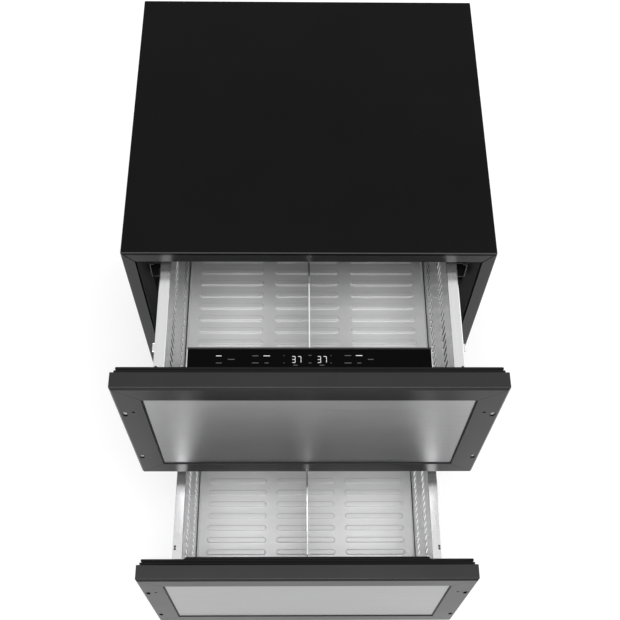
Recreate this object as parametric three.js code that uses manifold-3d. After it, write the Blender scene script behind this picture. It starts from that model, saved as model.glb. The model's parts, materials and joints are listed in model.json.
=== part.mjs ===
// Undercounter refrigerator with two drawers, both drawn part of the way out.
// Millimetres. X runs left to right, Y front to back and Z up.
// Sizes are written from the cabinet's front plane (y = 0), its middle (x = 0) and the floor
// (z = 0). The finished group is then set with its origin under the middle of the whole object.
import * as THREE from 'three';
import { mergeGeometries, mergeVertices } from 'three/addons/utils/BufferGeometryUtils.js';
import Module from 'manifold-3d';

const wasm = await Module();
wasm.setup();

// ---------------------------------------------------------------- driving dimensions

const seat = 0.3;                  // clearance between two pieces that touch

// Cabinet
const cabinetWidth = 606;
const cabinetHeight = 867;
const cabinetDepth = 546;
const cabinetSheet = 1;
const flangeSide = 20;             // width of the front flange down each side
const flangeTop = 26;              // width of the front flange under the top
const flangeReturn = 14;           // depth that the flange folds back
const mitreSlit = 0.6;             // open seam at the flange's corners
const sideWall = 38;               // cabinet skin to liner, with the insulation between
const topWall = 32;
const rearWall = 40;
const lowerRearWall = 28;            // lower liner to the machine compartment
const linerSheet = 1.5;
const breakerSetback = 5;          // breaker face behind the front plane
const breakerDepth = 20;
const breakerSplay = 18;           // depth over which its inner faces slope back
const breakerFace = 2;             // flat left beside the flange
const mullionHeight = 40;
const railSheet = 1.5;
const kickHeight = 100;
const kickDepth = 60;
const sillHeight = 35;

// Machine compartment, under and behind the lower drawer
const machineDepth = 130;
const machineHeight = 235;
const shroudSheet = 1.2;
const baseLift = 18;
const baseSheet = 2;
const baseFlange = 12;

// Feet
const footRadius = 19;
const footPad = 7;
const footStem = 5;
const footStemTop = 46;
const footHoleClear = 0.6;
const footInset = 42;
const footNut = 8.5;
const footBevel = 2;

// Drawer fronts
const frontWidth = 603;
const frontDepth = 28.5;
const upperFrontHeight = 382;
const frontTopInset = 1;
const frontGap = 5;
const frontLift = 12;              // lower front above the toe space
const frameWidth = 43.5;
const frameLip = 2;                // thickness of the frame in front of the panel's edge
const frameRebate = 5;             // width of the lip that covers the panel's edge
const frameNose = 3.5;             // bevel round the outer front edge
const frameEase = 1.2;             // eased outer rear edge
const panelSheet = 1.2;
const panelHoleRadius = 4;
const panelHoleInset = 10.8;
const panelHoleDrop = 99;
const panelHolePitch = 198;
const pinHoleRadius = 2;
const pinHoleInset = 25.5;
const pinHoleDrop = 91;
const gasketDepth = 12;
const gasketInset = 5;
const gasketWidth = 13;
const gasketStep = 2;
const gasketBaseDepth = 3.5;
const gasketGroove = 2;
const gasketGrooveHeight = 1;
const linerPlateInset = 7;         // front's outer edge to the moulded inner face
const plinthDepth = 25;
const plinthTaper = 6;
const plinthDrop = 8;

// How far the drawers stand open, and how far they can go
const upperOpening = 195;
const lowerOpening = 391;

// Drawer bins and their slides
const upperFloorLift = 59.5;       // liner's floor to the bin's floor
const lowerFloorLift = 47;
const binSheet = 1;
const upperRimClear = 12;          // liner's ceiling to the bin's rim
const lowerRimClear = 17.5;
const rimWidth = 18;
const rimHem = 4;
const slideHeight = 45;
const slideThickness = 12.7;
const slideSheet = 1.5;
const slideRun = 0.8;              // running gap between the members
const slideDrop = 6;
const slideFront = 12;
const slideRearClear = 4;
const spacerWidth = 25;            // slide to liner wall
const binRearClear = 12;
const slotPitch = 12.7;
const slotWidth = 5;
const slotHeight = 38;
const slotUnderSlide = 5;          // slide to the upper row
const slotLowerLift = 67;          // bin's floor to the middle of the lower row
const slotMargin = 14;
const ribPitch = 25.4;
const ribWidth = 13;
const ribGap = 20;                 // between the ends of two ribs
const ribSideMargin = 18.2;
const ribHeight = 3;
const ribSlope = 2.5;
const ribColumns = 3;
const ribMargin = 20;
const traySheet = 1.2;
const trayLip = 8;
const trayClear = 1.5;             // tray's sides to the bin walls
const rearHem = 8;
const tabLength = 13;
const tabWidth = 2.5;
const tabSetback = 56;
const screwHoleRadius = 1.5;
const screwHolePitch = 4.6;
const upperScrewSetback = 23;      // back of the front's frame to the rim's first hole
const lowerScrewSetback = 36.4;
const dividerSheet = 1.2;
const dividerBead = 2;
const dividerDrop = 5;

// Control console on the upper front
const consoleInset = 34.7;         // console's end to the bin wall
const consoleDepth = 59.5;
const consoleHeight = 30;
const consoleClear = 5;            // under the liner's ceiling when shut
const consoleBevel = 3;
const consoleBevelDrop = 2.4;
const glassSheet = 3;
const consoleTrim = 0.8;

// Cold side, behind the upper bin
const evaporatorGap = 8;           // cover to the coil
const evaporatorRearGap = 14;      // fan motor to the liner
const coilLift = 30;
const coilMargin = 36;
const finMargin = 4;
const finCount = 7;
const finSheet = 0.8;
const coilRadius = 4.5;
const coilRows = 4;
const fanBlades = 5;
const bladeSheetThin = 1.6;
const bladeAngle = 0.6;
const bladeRootHalf = 6;
const bladeTipHalf = 13;
const fanHubRadius = 15;
const fanDepth = 18;
const fanSetback = 4;              // plate to the fan
const fanTipClear = 4;
const coldFanDrop = 20;            // liner's ceiling to the fan's hole
const shaftRadius = 3;
const motorRadius = 18;
const motorLength = 12;
const motorClear = 2;
const armWidth = 6;
const armClear = 8;                // fan to its arms
const postWidth = 8;
const postClear = 4;
const coverSheet = 2;
const returnSlotCount = 7;
const returnSlotLength = 40;
const returnSlotHeight = 8;
const returnSlotLift = 25;
const returnSlotMargin = 64.7;

// Warm side, in the machine compartment
const compressorClear = 6;         // weld seam to the compartment's front and rear
const compressorInset = 153;       // cabinet's side to the compressor's axis
const seamWidth = 3;
const seamHeight = 4;
const seamLift = 67;
const shoulderRadius = 14;
const domeRise = 30;
const bushRadius = 8;
const bushHeight = 11;
const bushInset = 8;
const footPlateSheet = 4;
const drainPanHeight = 22;
const drainPanSheet = 2;
const drainPanClear = 28.4;        // rim of the drain pan to the compartment's top
const shroudGap = 130;             // compressor to the fan's shroud
const warmFanLift = 10;
const fanEdge = 19;                // blade tips to the shroud's front and rear edges
const condenserInset = 64;         // cabinet's side to the condenser's near bend
const condenserFanGap = 53;        // condenser's far bend to the shroud
const condenserTube = 3.5;
const condenserRows = 5;
const condenserPitch = 26;
const condenserPlateDepth = 60;
const condenserPlateSheet = 2;
const condenserPlateInset = 6;
const condenserWires = 3;
const louvreCount = 9;
const louvreHeight = 5;
const louvrePitch = 14;
const louvreMiddle = 56;           // middle plane to the nearest end of a louvre
const louvreClear = 2;             // louvres to the cord bush
const grilleBlades = 6;
const grilleFrame = 10;
const grilleDepth = 10;
const bladeSheet = 2;
const bladeTilt = 0.6;
const glandRadius = 11;
const glandLength = 16;
const glandLip = 2;
const glandLipWidth = 4.4;
const glandWall = 6.6;
const glandInset = 40;
const rearBeadDepth = 3;
const rearBeadWidth = 24;
const rearBeadMargin = 60;

// ---------------------------------------------------------------- sizes that follow

const halfCabinet = cabinetWidth / 2;
const mouthHalf = halfCabinet - flangeSide;
const linerHalf = halfCabinet - sideWall;
const ceiling = cabinetHeight - topWall;
const mouthTop = cabinetHeight - flangeTop;

const upperFrontTop = cabinetHeight - frontTopInset;
const upperFrontBottom = upperFrontTop - upperFrontHeight;
const lowerFrontTop = upperFrontBottom - frontGap;
const lowerFrontBottom = kickHeight + frontLift;
const mullionMiddle = (upperFrontBottom + lowerFrontTop) / 2;
const mullionTop = mullionMiddle + mullionHeight / 2;
const mullionBottom = mullionMiddle - mullionHeight / 2;
const sillTop = kickHeight + sillHeight;

const linerFront = breakerSetback + breakerDepth + seat;
const upperLinerBack = cabinetDepth - rearWall;
const machineFront = cabinetDepth - machineDepth;
const lowerLinerBack = machineFront - lowerRearWall;
const fanStack = fanSetback + fanDepth + armClear + motorLength + motorClear;
const evaporatorSpace = coverSheet + fanStack + evaporatorRearGap;
const evaporatorFront = upperLinerBack - evaporatorSpace;
const upperBinBack = evaporatorFront - binRearClear;
const lowerBinBack = lowerLinerBack - binRearClear;

const shutFront = -(frontDepth + gasketDepth + seat);
const upperRim = ceiling - upperRimClear;
const lowerRim = mullionBottom - lowerRimClear;
const binHalf = linerHalf - spacerWidth - slideThickness - binSheet - 2 * seat;
const slotUpperDrop = slideDrop + slideHeight + slotUnderSlide + slotHeight / 2;

const footPlaces = [
  [-halfCabinet + footInset, kickDepth + footInset],
  [halfCabinet - footInset, kickDepth + footInset],
  [halfCabinet - footInset, cabinetDepth - footInset],
  [-halfCabinet + footInset, cabinetDepth - footInset],
];
const footNames = ['front_left_foot', 'front_right_foot', 'rear_right_foot', 'rear_left_foot'];
const glandPlace = [halfCabinet - glandInset, machineHeight - glandInset];
const glandLipRadius = glandRadius + glandLipWidth;

const machineMiddle = machineFront + machineDepth / 2;
const machineFloor = baseLift + baseSheet + seat;
const fanRadius = machineDepth / 2 - fanEdge;
const coldFanZ = ceiling - fanRadius - fanTipClear - coldFanDrop;
const compressorRadius = machineDepth / 2 - seamWidth - compressorClear;
const compressorX = halfCabinet - compressorInset;
const drainPanBottom = machineHeight - drainPanClear - drainPanHeight;
const warmFanX = compressorX - compressorRadius - shroudGap;
const warmFanAt = [machineMiddle, machineHeight / 2 + warmFanLift];

// ---------------------------------------------------------------- finishes

const finish = (color, roughness, metalness) => ({ color, roughness, metalness });
const blackPaint = finish(0x1a1a1b, 0.45, 0.3);
const charcoal = finish(0x3a3a3c, 0.4, 0.5);
const brushed = finish(0xb9bbbd, 0.35, 1);
const polished = finish(0xd6d8da, 0.15, 1);
const zinc = finish(0x9a9ea2, 0.4, 1);
const darkPlastic = finish(0x2c2c2e, 0.5, 0);
const glossBlack = finish(0x050506, 0.08, 0);
const sealGrey = finish(0x3d3d3f, 0.8, 0);
const foam = finish(0xd8c98f, 0.9, 0);
const enamel = finish(0x101012, 0.3, 0.2);
const whitePlastic = finish(0xd9d9d6, 0.5, 0);

function part(name, geometry, look) {
  const mesh = new THREE.Mesh(geometry, new THREE.MeshStandardMaterial(look));
  mesh.name = name;
  return mesh;
}

// ---------------------------------------------------------------- shape helpers

// A closed three.js geometry as a solid that can be joined and cut.
function toSolid(geometry) {
  const bare = geometry.clone();
  bare.deleteAttribute('normal');
  bare.deleteAttribute('uv');
  const merged = mergeVertices(bare, 1e-4);
  return new wasm.Manifold(new wasm.Mesh({
    numProp: 3,
    vertProperties: Float32Array.from(merged.attributes.position.array),
    triVerts: Uint32Array.from(merged.index.array),
  }));
}

function toGeometry(solid) {
  const mesh = solid.getMesh();
  const geometry = new THREE.BufferGeometry();
  geometry.setAttribute('position', new THREE.BufferAttribute(mesh.vertProperties, 3));
  geometry.setIndex(new THREE.BufferAttribute(mesh.triVerts, 1));
  geometry.computeVertexNormals();
  return geometry;
}

const join = (...pieces) => toGeometry(pieces.map(toSolid).reduce((sum, next) => sum.add(next)));

function cut(base, ...tools) {
  return toGeometry(tools.map(toSolid).reduce((rest, tool) => rest.subtract(tool), toSolid(base)));
}

// Cuts a row of openings that don't touch each other.
const punch = (base, holes) => cut(base, mergeGeometries(holes));

// A block between two limits on each axis.
function block([x0, x1], [y0, y1], [z0, z1]) {
  const geometry = new THREE.BoxGeometry(x1 - x0, y1 - y0, z1 - z0);
  return geometry.translate((x0 + x1) / 2, (y0 + y1) / 2, (z0 + z1) / 2);
}

function outline(points) {
  return new THREE.Shape(points.map(([a, b]) => new THREE.Vector2(a, b)));
}

function extrude(shape, length, curveSegments = 3) {
  return new THREE.ExtrudeGeometry(shape, { depth: length, bevelEnabled: false, curveSegments });
}

const axisX = new THREE.Vector3(1, 0, 0);
const axisY = new THREE.Vector3(0, 1, 0);
const axisZ = new THREE.Vector3(0, 0, 1);

// An outline drawn in (y, z) and pushed along X.
function alongX(shape, x0, x1) {
  const turn = new THREE.Matrix4().makeBasis(axisY, axisZ, axisX);
  return extrude(shape, x1 - x0).applyMatrix4(turn).translate(x0, 0, 0);
}

// An outline drawn in (x, z) and pushed along Y.
function alongY(shape, y0, y1) {
  const turn = new THREE.Matrix4().makeBasis(axisX, axisZ, axisY.clone().negate());
  return extrude(shape, y1 - y0).applyMatrix4(turn).translate(0, y1, 0);
}

// A cylinder along X, Y or Z between two ends.
function rod(axis, radius, [a, b], from, to, sides = 12) {
  const geometry = new THREE.CylinderGeometry(radius, radius, to - from, sides);
  const middle = (from + to) / 2;
  if (axis === 'x') return geometry.rotateZ(-Math.PI / 2).translate(middle, a, b);
  if (axis === 'y') return geometry.translate(a, middle, b);
  return geometry.rotateX(Math.PI / 2).translate(a, b, middle);
}

// A profile of (distance in from the outer edge, depth), run as a bar with mitred ends.
// The bar lies along X with its outer edge at z = 0.
function mitredBar(profile, length) {
  const bar = extrude(outline(profile), 1);
  const at = bar.attributes.position;
  for (let i = 0; i < at.count; i += 1) {
    const inward = at.getX(i);
    const reach = length / 2 - inward - seat / 2;
    at.setXYZ(i, at.getZ(i) < 0.5 ? reach : -reach, at.getY(i), inward);
  }
  bar.computeVertexNormals();
  return bar;
}

// A closed profile of (inset, depth) carried round a rectangle with square corners.
function squareRing(profile, width, height, middleZ) {
  const corners = [[-1, -1], [1, -1], [1, 1], [-1, 1]];
  const places = [];
  for (const [sideX, sideZ] of corners) {
    for (const [inset, depth] of profile) {
      places.push(sideX * (width / 2 - inset), depth, middleZ + sideZ * (height / 2 - inset));
    }
  }
  const faces = [];
  const count = profile.length;
  for (let corner = 0; corner < 4; corner += 1) {
    const next = (corner + 1) % 4;
    for (let i = 0; i < count; i += 1) {
      const j = (i + 1) % count;
      const quad = [corner * count + i, next * count + i, next * count + j, corner * count + j];
      faces.push(quad[0], quad[1], quad[2], quad[0], quad[2], quad[3]);
    }
  }
  const geometry = new THREE.BufferGeometry();
  geometry.setAttribute('position', new THREE.Float32BufferAttribute(places, 3));
  geometry.setIndex(faces);
  geometry.computeVertexNormals();
  return geometry;
}

// The same piece for the other side of the middle plane.
function mirrored(geometry) {
  const other = geometry.clone().scale(-1, 1, 1);
  const corners = Array.from(other.index.array);
  for (let i = 0; i < corners.length; i += 3) {
    [corners[i], corners[i + 1]] = [corners[i + 1], corners[i]];
  }
  other.setIndex(corners);
  other.computeVertexNormals();
  return other;
}

// ---------------------------------------------------------------- cabinet

// Folded sheet steel: top, two sides and the flange round the mouth, with slit mitres and
// the two rails that are welded across it.
function cabinetWrapper() {
  const inner = halfCabinet - cabinetSheet;
  const shell = alongY(outline([
    [-halfCabinet, baseLift], [-inner, baseLift], [-inner, cabinetHeight - cabinetSheet],
    [inner, cabinetHeight - cabinetSheet], [inner, baseLift], [halfCabinet, baseLift],
    [halfCabinet, cabinetHeight], [-halfCabinet, cabinetHeight],
  ]), 0, cabinetDepth);
  const lip = mouthHalf + cabinetSheet;
  const face = alongY(outline([
    [-halfCabinet, baseLift], [-mouthHalf, baseLift], [-mouthHalf, mouthTop],
    [mouthHalf, mouthTop], [mouthHalf, baseLift], [halfCabinet, baseLift],
    [halfCabinet, cabinetHeight], [-halfCabinet, cabinetHeight],
  ]), 0, cabinetSheet);
  const fold = alongY(outline([
    [-lip, baseLift], [-mouthHalf, baseLift], [-mouthHalf, mouthTop],
    [mouthHalf, mouthTop], [mouthHalf, baseLift], [lip, baseLift],
    [lip, mouthTop + cabinetSheet], [-lip, mouthTop + cabinetSheet],
  ]), 0, flangeReturn);
  const toeSpace = block([-cabinetWidth, cabinetWidth], [-1, kickDepth], [0, kickHeight]);
  const sheets = cut(join(shell, face, fold), toeSpace, mitreCut(-1), mitreCut(1));
  return join(sheets, mullionRail(), sillRail());
}

// The narrow slit where the side flange meets the top flange, from the mouth to the outer edge.
function mitreCut(side) {
  const length = Math.hypot(flangeSide, flangeTop);
  const acrossX = (mitreSlit / 2) * (flangeTop / length);
  const acrossZ = (mitreSlit / 2) * (flangeSide / length);
  const rise = flangeTop / flangeSide;
  const [x0, z0] = [mouthHalf - cabinetSheet, mouthTop - cabinetSheet * rise];
  const [x1, z1] = [x0 + flangeSide, z0 + flangeTop];
  const corners = [[x0 - acrossX, z0 + acrossZ], [x0 + acrossX, z0 - acrossZ],
    [x1 + acrossX, z1 - acrossZ], [x1 - acrossX, z1 + acrossZ]].map(([x, z]) => [side * x, z]);
  if (side < 0) corners.reverse();
  return alongY(outline(corners), -1, flangeReturn + 1);
}

// Rear sheet with two pressed stiffening beads, above the machine compartment.
function rearPanel() {
  const wide = halfCabinet - cabinetSheet - seat;
  const low = machineHeight + seat;
  const high = cabinetHeight - cabinetSheet - seat;
  const sheet = block([-wide, wide], [cabinetDepth - cabinetSheet, cabinetDepth], [low, high]);
  const beads = [-1, 1].map((side) => {
    const [left, right] = [side * (wide / 2) - rearBeadWidth / 2, side * (wide / 2) + rearBeadWidth / 2];
    const face = cabinetDepth - cabinetSheet;
    return block([left, right], [face - rearBeadDepth, face + cabinetSheet / 2],
      [low + rearBeadMargin, high - rearBeadMargin]);
  });
  return join(sheet, ...beads);
}

// Rigid foam that fills the walls between the cabinet and the liners.
function insulation() {
  const wide = halfCabinet - cabinetSheet - seat;
  const high = cabinetHeight - cabinetSheet - seat;
  const back = cabinetDepth - cabinetSheet - rearBeadDepth - seat;
  const low = kickHeight + shroudSheet + 2 * seat;
  const body = block([-wide, wide], [linerFront, back], [low, high]);
  const reach = linerHalf + linerSheet + seat;
  const upper = block([-reach, reach], [0, upperLinerBack + linerSheet + seat],
    [mullionTop - linerSheet - seat, ceiling + linerSheet + seat]);
  const lower = block([-reach, reach], [0, lowerLinerBack + linerSheet + seat],
    [sillTop - linerSheet - seat, mullionBottom + linerSheet + seat]);
  const machine = block([-cabinetWidth, cabinetWidth],
    [machineFront - shroudSheet - seat, cabinetDepth], [0, machineHeight + shroudSheet + seat]);
  return cut(body, upper, lower, machine);
}

// A box of thin moulded sheet, open at the front.
function liner(bottom, top, back) {
  const skin = linerSheet;
  const outer = block([-linerHalf - skin, linerHalf + skin], [linerFront, back + skin],
    [bottom - skin, top + skin]);
  const inner = block([-linerHalf, linerHalf], [0, back], [bottom, top]);
  return cut(outer, inner);
}

// A block whose front end is wider by a margin on both sides and taller by a rise at the top.
function splayed(across, [front, back], up, margin, rise) {
  const geometry = block(across, [front, back], up);
  const at = geometry.attributes.position;
  for (let i = 0; i < at.count; i += 1) {
    if (at.getY(i) > (front + back) / 2) continue;
    at.setX(i, at.getX(i) + Math.sign(at.getX(i)) * margin);
    if (at.getZ(i) > (up[0] + up[1]) / 2) at.setZ(i, at.getZ(i) + rise);
  }
  geometry.computeVertexNormals();
  return geometry;
}

// Plastic frame round both cavities, set back a little behind the flange. Its faces slope
// back from the mouth to the liners.
function breakerFrame() {
  const wide = mouthHalf - seat;
  const low = sillTop + seat;
  const shape = outline([
    [-wide, low], [-linerHalf, low], [-linerHalf, mullionBottom], [linerHalf, mullionBottom],
    [linerHalf, low], [wide, low], [wide, mouthTop - seat], [-wide, mouthTop - seat],
  ]);
  shape.holes.push(outline([
    [-linerHalf, mullionTop], [linerHalf, mullionTop], [linerHalf, ceiling], [-linerHalf, ceiling],
  ]));
  const frame = alongY(shape, breakerSetback, breakerSetback + breakerDepth);
  const deep = [breakerSetback, breakerSetback + breakerSplay];
  const across = [-linerHalf, linerHalf];
  const margin = wide - breakerFace - linerHalf;
  const rise = mouthTop - seat - breakerFace - ceiling;
  return cut(frame, splayed(across, deep, [mullionTop, ceiling], margin, rise),
    splayed(across, deep, [kickHeight, mullionBottom], margin, 0));
}

// Steel channel between the drawers, flush with the flange, that both gaskets close on.
function mullionRail() {
  const wide = mouthHalf + cabinetSheet / 2;
  const deep = breakerSetback - seat;
  const channel = [
    [0, mullionBottom], [deep, mullionBottom], [deep, mullionBottom + railSheet],
    [railSheet, mullionBottom + railSheet], [railSheet, mullionTop - railSheet],
    [deep, mullionTop - railSheet], [deep, mullionTop], [0, mullionTop],
  ];
  return alongX(outline(channel), -wide, wide);
}

// Steel channel under the lower drawer's mouth.
function sillRail() {
  const wide = mouthHalf + cabinetSheet / 2;
  const deep = linerFront - seat;
  const channel = [
    [0, kickHeight], [deep, kickHeight], [deep, kickHeight + railSheet],
    [railSheet, kickHeight + railSheet], [railSheet, sillTop - railSheet],
    [deep, sillTop - railSheet], [deep, sillTop], [0, sillTop],
  ];
  return alongX(outline(channel), -wide, wide);
}

// Floor of the cabinet: a shallow pan with a hole for each foot.
function basePan() {
  const wide = halfCabinet - cabinetSheet - seat;
  const back = cabinetDepth - cabinetSheet - seat;
  const pan = block([-wide, wide], [kickDepth, back], [baseLift, baseLift + baseFlange]);
  const hollow = block([-wide + baseSheet, wide - baseSheet],
    [kickDepth + baseSheet, back - baseSheet], [baseLift + baseSheet, baseLift + 2 * baseFlange]);
  const holes = footPlaces.map((place) => rod('z', footStem + footHoleClear, place, 0, 2 * baseLift));
  return cut(pan, hollow, ...holes);
}

// Stepped sheet that closes the foam off from the air way and the machine compartment.
function compartmentShroud() {
  const wide = halfCabinet - cabinetSheet - seat;
  const back = cabinetDepth - cabinetSheet - seat;
  const low = kickHeight + seat;
  const sheet = shroudSheet;
  return alongX(outline([
    [linerFront, low], [machineFront, low], [machineFront, machineHeight], [back, machineHeight],
    [back, machineHeight + sheet], [machineFront - sheet, machineHeight + sheet],
    [machineFront - sheet, low + sheet], [linerFront, low + sheet],
  ]), -wide, wide);
}

// Toe grille: a frame with tilted blades.
function kickGrille() {
  const wide = halfCabinet - cabinetSheet - seat;
  const back = kickDepth - seat;
  const front = back - grilleDepth;
  const low = baseLift;
  const high = kickHeight - seat;
  const inside = wide - grilleFrame;
  const frame = cut(block([-wide, wide], [front, back], [low, high]),
    block([-inside, inside], [front - 1, back + 1], [low + grilleFrame, high - grilleFrame]));
  const room = high - low - 2 * grilleFrame;
  const reach = (grilleDepth - bladeSheet) / 2;
  const blades = [];
  for (let i = 0; i < grilleBlades; i += 1) {
    const z = low + grilleFrame + (room * (i + 0.5)) / grilleBlades;
    const y = (front + back) / 2;
    const drop = reach * bladeTilt;
    blades.push(alongX(outline([
      [y - reach, z - drop - bladeSheet / 2], [y + reach, z + drop - bladeSheet / 2],
      [y + reach, z + drop + bladeSheet / 2], [y - reach, z - drop + bladeSheet / 2],
    ]), -wide + grilleFrame / 2, wide - grilleFrame / 2));
  }
  return join(frame, ...blades);
}

// A levelling foot: pad, nut under the pan and threaded stem.
function foot([x, y]) {
  const profile = [
    [0, 0], [footRadius - footBevel, 0], [footRadius, footBevel], [footRadius, footPad - footBevel],
    [footRadius - footBevel, footPad], [footStem, footPad], [footStem, footStemTop - footBevel / 2],
    [footStem - footBevel / 2, footStemTop], [0, footStemTop],
  ].map(([r, z]) => new THREE.Vector2(r, z));
  const turned = new THREE.LatheGeometry(profile, 10).rotateX(Math.PI / 2);
  const nut = rod('z', footNut, [0, 0], footPad - 1, baseLift - seat, 6);
  return join(turned, nut).translate(x, y, 0);
}

// Rear cover of the machine compartment, louvred on both sides, with the bush for a supply cord.
function machineCover() {
  const wide = halfCabinet - cabinetSheet - seat;
  const middle = (baseLift + machineHeight) / 2;
  const louvreEnd = glandPlace[0] - glandLipRadius - louvreClear;
  const plate = block([-wide, wide], [cabinetDepth - cabinetSheet, cabinetDepth], [baseLift, machineHeight]);
  const slots = [];
  for (const ends of [[-louvreEnd, -louvreMiddle], [louvreMiddle, louvreEnd]]) {
    for (let i = 0; i < louvreCount; i += 1) {
      const z = middle + (i - (louvreCount - 1) / 2) * louvrePitch;
      slots.push(block(ends, [cabinetDepth - 2 * cabinetSheet, cabinetDepth + 1],
        [z - louvreHeight / 2, z + louvreHeight / 2]));
    }
  }
  const bore = rod('y', glandRadius - glandWall, glandPlace, cabinetDepth - 2 * glandLength,
    cabinetDepth + glandLength);
  return cut(join(punch(plate, slots), cordBush()), bore);
}

// Bush that a supply cord passes through.
function cordBush() {
  const body = rod('y', glandRadius, glandPlace, cabinetDepth - glandLength, cabinetDepth);
  const lip = rod('y', glandLipRadius, glandPlace, cabinetDepth - cabinetSheet / 2, cabinetDepth + glandLip);
  return join(body, lip);
}

// ---------------------------------------------------------------- cooling

// A motor on three arms behind a round hole, built about the local Z axis with the plate at z = 0.
function motorOnArms() {
  const postAt = fanRadius + fanTipClear + postClear;
  const armZ = fanSetback + fanDepth + armClear;
  const motorStart = fanSetback + fanDepth + motorClear;
  const motor = rod('z', motorRadius, [0, 0], motorStart, armZ + motorLength + motorClear, 14);
  const shaft = rod('z', shaftRadius, [0, 0], fanSetback + motorClear + seat, armZ, 10);
  const arms = [0, 1, 2].map((i) => {
    const across = [-armWidth / 2, armWidth / 2];
    const post = block([postAt - postWidth / 2, postAt + postWidth / 2], across, [-seat, armZ + armWidth]);
    const arm = block([fanHubRadius, postAt], across, [armZ, armZ + armWidth]);
    return join(post, arm).rotateZ((i * 2 * Math.PI) / 3 + Math.PI / 2);
  });
  return join(motor, shaft, ...arms);
}

// A fan with pitched blades, on the same local axis.
function fan() {
  const top = fanSetback + fanDepth;
  const hub = cut(rod('z', fanHubRadius, [0, 0], fanSetback, top, 14),
    rod('z', shaftRadius + seat, [0, 0], fanSetback + motorClear, top + 1, 10));
  const root = fanHubRadius - 2;
  const blades = Array.from({ length: fanBlades }, (_, i) => {
    const shape = outline([
      [root, -bladeRootHalf], [fanRadius * 0.6, -bladeTipHalf * 0.85], [fanRadius * 0.92, -bladeTipHalf],
      [fanRadius, -bladeTipHalf / 2], [fanRadius, bladeTipHalf / 2], [fanRadius * 0.85, bladeTipHalf * 0.85],
      [fanRadius * 0.5, bladeTipHalf * 0.7], [root, bladeRootHalf],
    ]);
    const blade = extrude(shape, bladeSheetThin).translate(0, 0, -bladeSheetThin / 2).rotateX(bladeAngle);
    return blade.translate(0, 0, (fanSetback + top) / 2).rotateZ((i * 2 * Math.PI) / fanBlades);
  });
  return join(hub, ...blades);
}

const alongDepth = (geometry, [x, z], y) => geometry.rotateX(-Math.PI / 2).translate(x, y, z);
const alongWidth = (geometry, [y, z], x) => geometry.rotateY(Math.PI / 2).translate(x, y, z);

// Cover in front of the evaporator, with the fan's hole and return slots low down.
function evaporatorCover() {
  const wide = linerHalf - seat;
  const [front, back] = [evaporatorFront, evaporatorFront + coverSheet];
  const plate = block([-wide, wide], [front, back], [mullionTop + seat, ceiling - seat]);
  const hole = rod('y', fanRadius + fanTipClear, [0, coldFanZ], front - 1, back + 1, 24);
  const span = 2 * (linerHalf - returnSlotMargin) - returnSlotLength;
  const low = mullionTop + returnSlotLift;
  const slots = Array.from({ length: returnSlotCount }, (_, i) => {
    const x = span * (i / (returnSlotCount - 1) - 0.5);
    return block([x - returnSlotLength / 2, x + returnSlotLength / 2], [front - 1, back + 1],
      [low, low + returnSlotHeight]);
  });
  return join(cut(punch(plate, slots), hole), alongDepth(motorOnArms(), [0, coldFanZ], back));
}

// A route given by its stations, so that a tube gets one ring at each of them.
class Route extends THREE.Curve {
  constructor(stations) {
    super();
    this.stations = stations;
  }

  getPoint(t, target = new THREE.Vector3()) {
    const last = this.stations.length - 1;
    const from = Math.min(Math.floor(t * last + 1e-6), last - 1);
    return target.lerpVectors(this.stations[from], this.stations[from + 1], t * last - from);
  }

  getPointAt(u, target) {
    return this.getPoint(u, target);
  }

  getTangentAt(u, target = new THREE.Vector3()) {
    const last = this.stations.length - 1;
    const i = Math.round(u * last);
    const before = this.stations[Math.max(i - 1, 0)];
    const after = this.stations[Math.min(i + 1, last)];
    return target.subVectors(after, before).normalize();
  }
}

// A tube that runs back and forth along X between x0 and x1 and climbs a row at each end.
function serpentine(radius, [x0, x1], y, z0, rows, pitch) {
  const sides = 5;
  const stations = [];
  const bendSteps = 3;
  for (let row = 0; row < rows; row += 1) {
    const right = row % 2 === 0;
    const z = z0 + row * pitch;
    stations.push(new THREE.Vector3(right ? x0 : x1, y, z), new THREE.Vector3(right ? x1 : x0, y, z));
    for (let k = 1; row < rows - 1 && k < bendSteps; k += 1) {
      const angle = Math.PI * (k / bendSteps - 0.5);
      const out = (pitch / 2) * Math.cos(angle);
      const up = (pitch / 2) * (1 + Math.sin(angle));
      stations.push(new THREE.Vector3(right ? x1 + out : x0 - out, y, z + up));
    }
  }
  const section = Array.from({ length: sides }, (_, i) => {
    const angle = (i / sides) * 2 * Math.PI;
    return [radius * Math.cos(angle), radius * Math.sin(angle)];
  });
  return new THREE.ExtrudeGeometry(outline(section), {
    steps: stations.length - 1, bevelEnabled: false, extrudePath: new Route(stations),
  });
}

// Finned evaporator on the liner's back wall.
function evaporatorCoil() {
  const back = upperLinerBack - seat;
  const deep = evaporatorSpace - coverSheet - evaporatorGap - 2 * seat;
  const pitch = 4 * coilRadius;
  const low = mullionTop + 2 * coilRadius + coilLift;
  const half = linerHalf - 2 * pitch - coilMargin;
  const tube = serpentine(coilRadius, [-half, half], back - deep / 2, low, coilRows, pitch);
  const fins = Array.from({ length: finCount }, (_, i) => {
    const x = (half - finMargin) * ((2 * i) / (finCount - 1) - 1);
    return block([x - finSheet / 2, x + finSheet / 2], [back - deep, back],
      [low - pitch / 2, low + (coilRows - 0.5) * pitch]);
  });
  return join(tube, ...fins);
}

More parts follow.
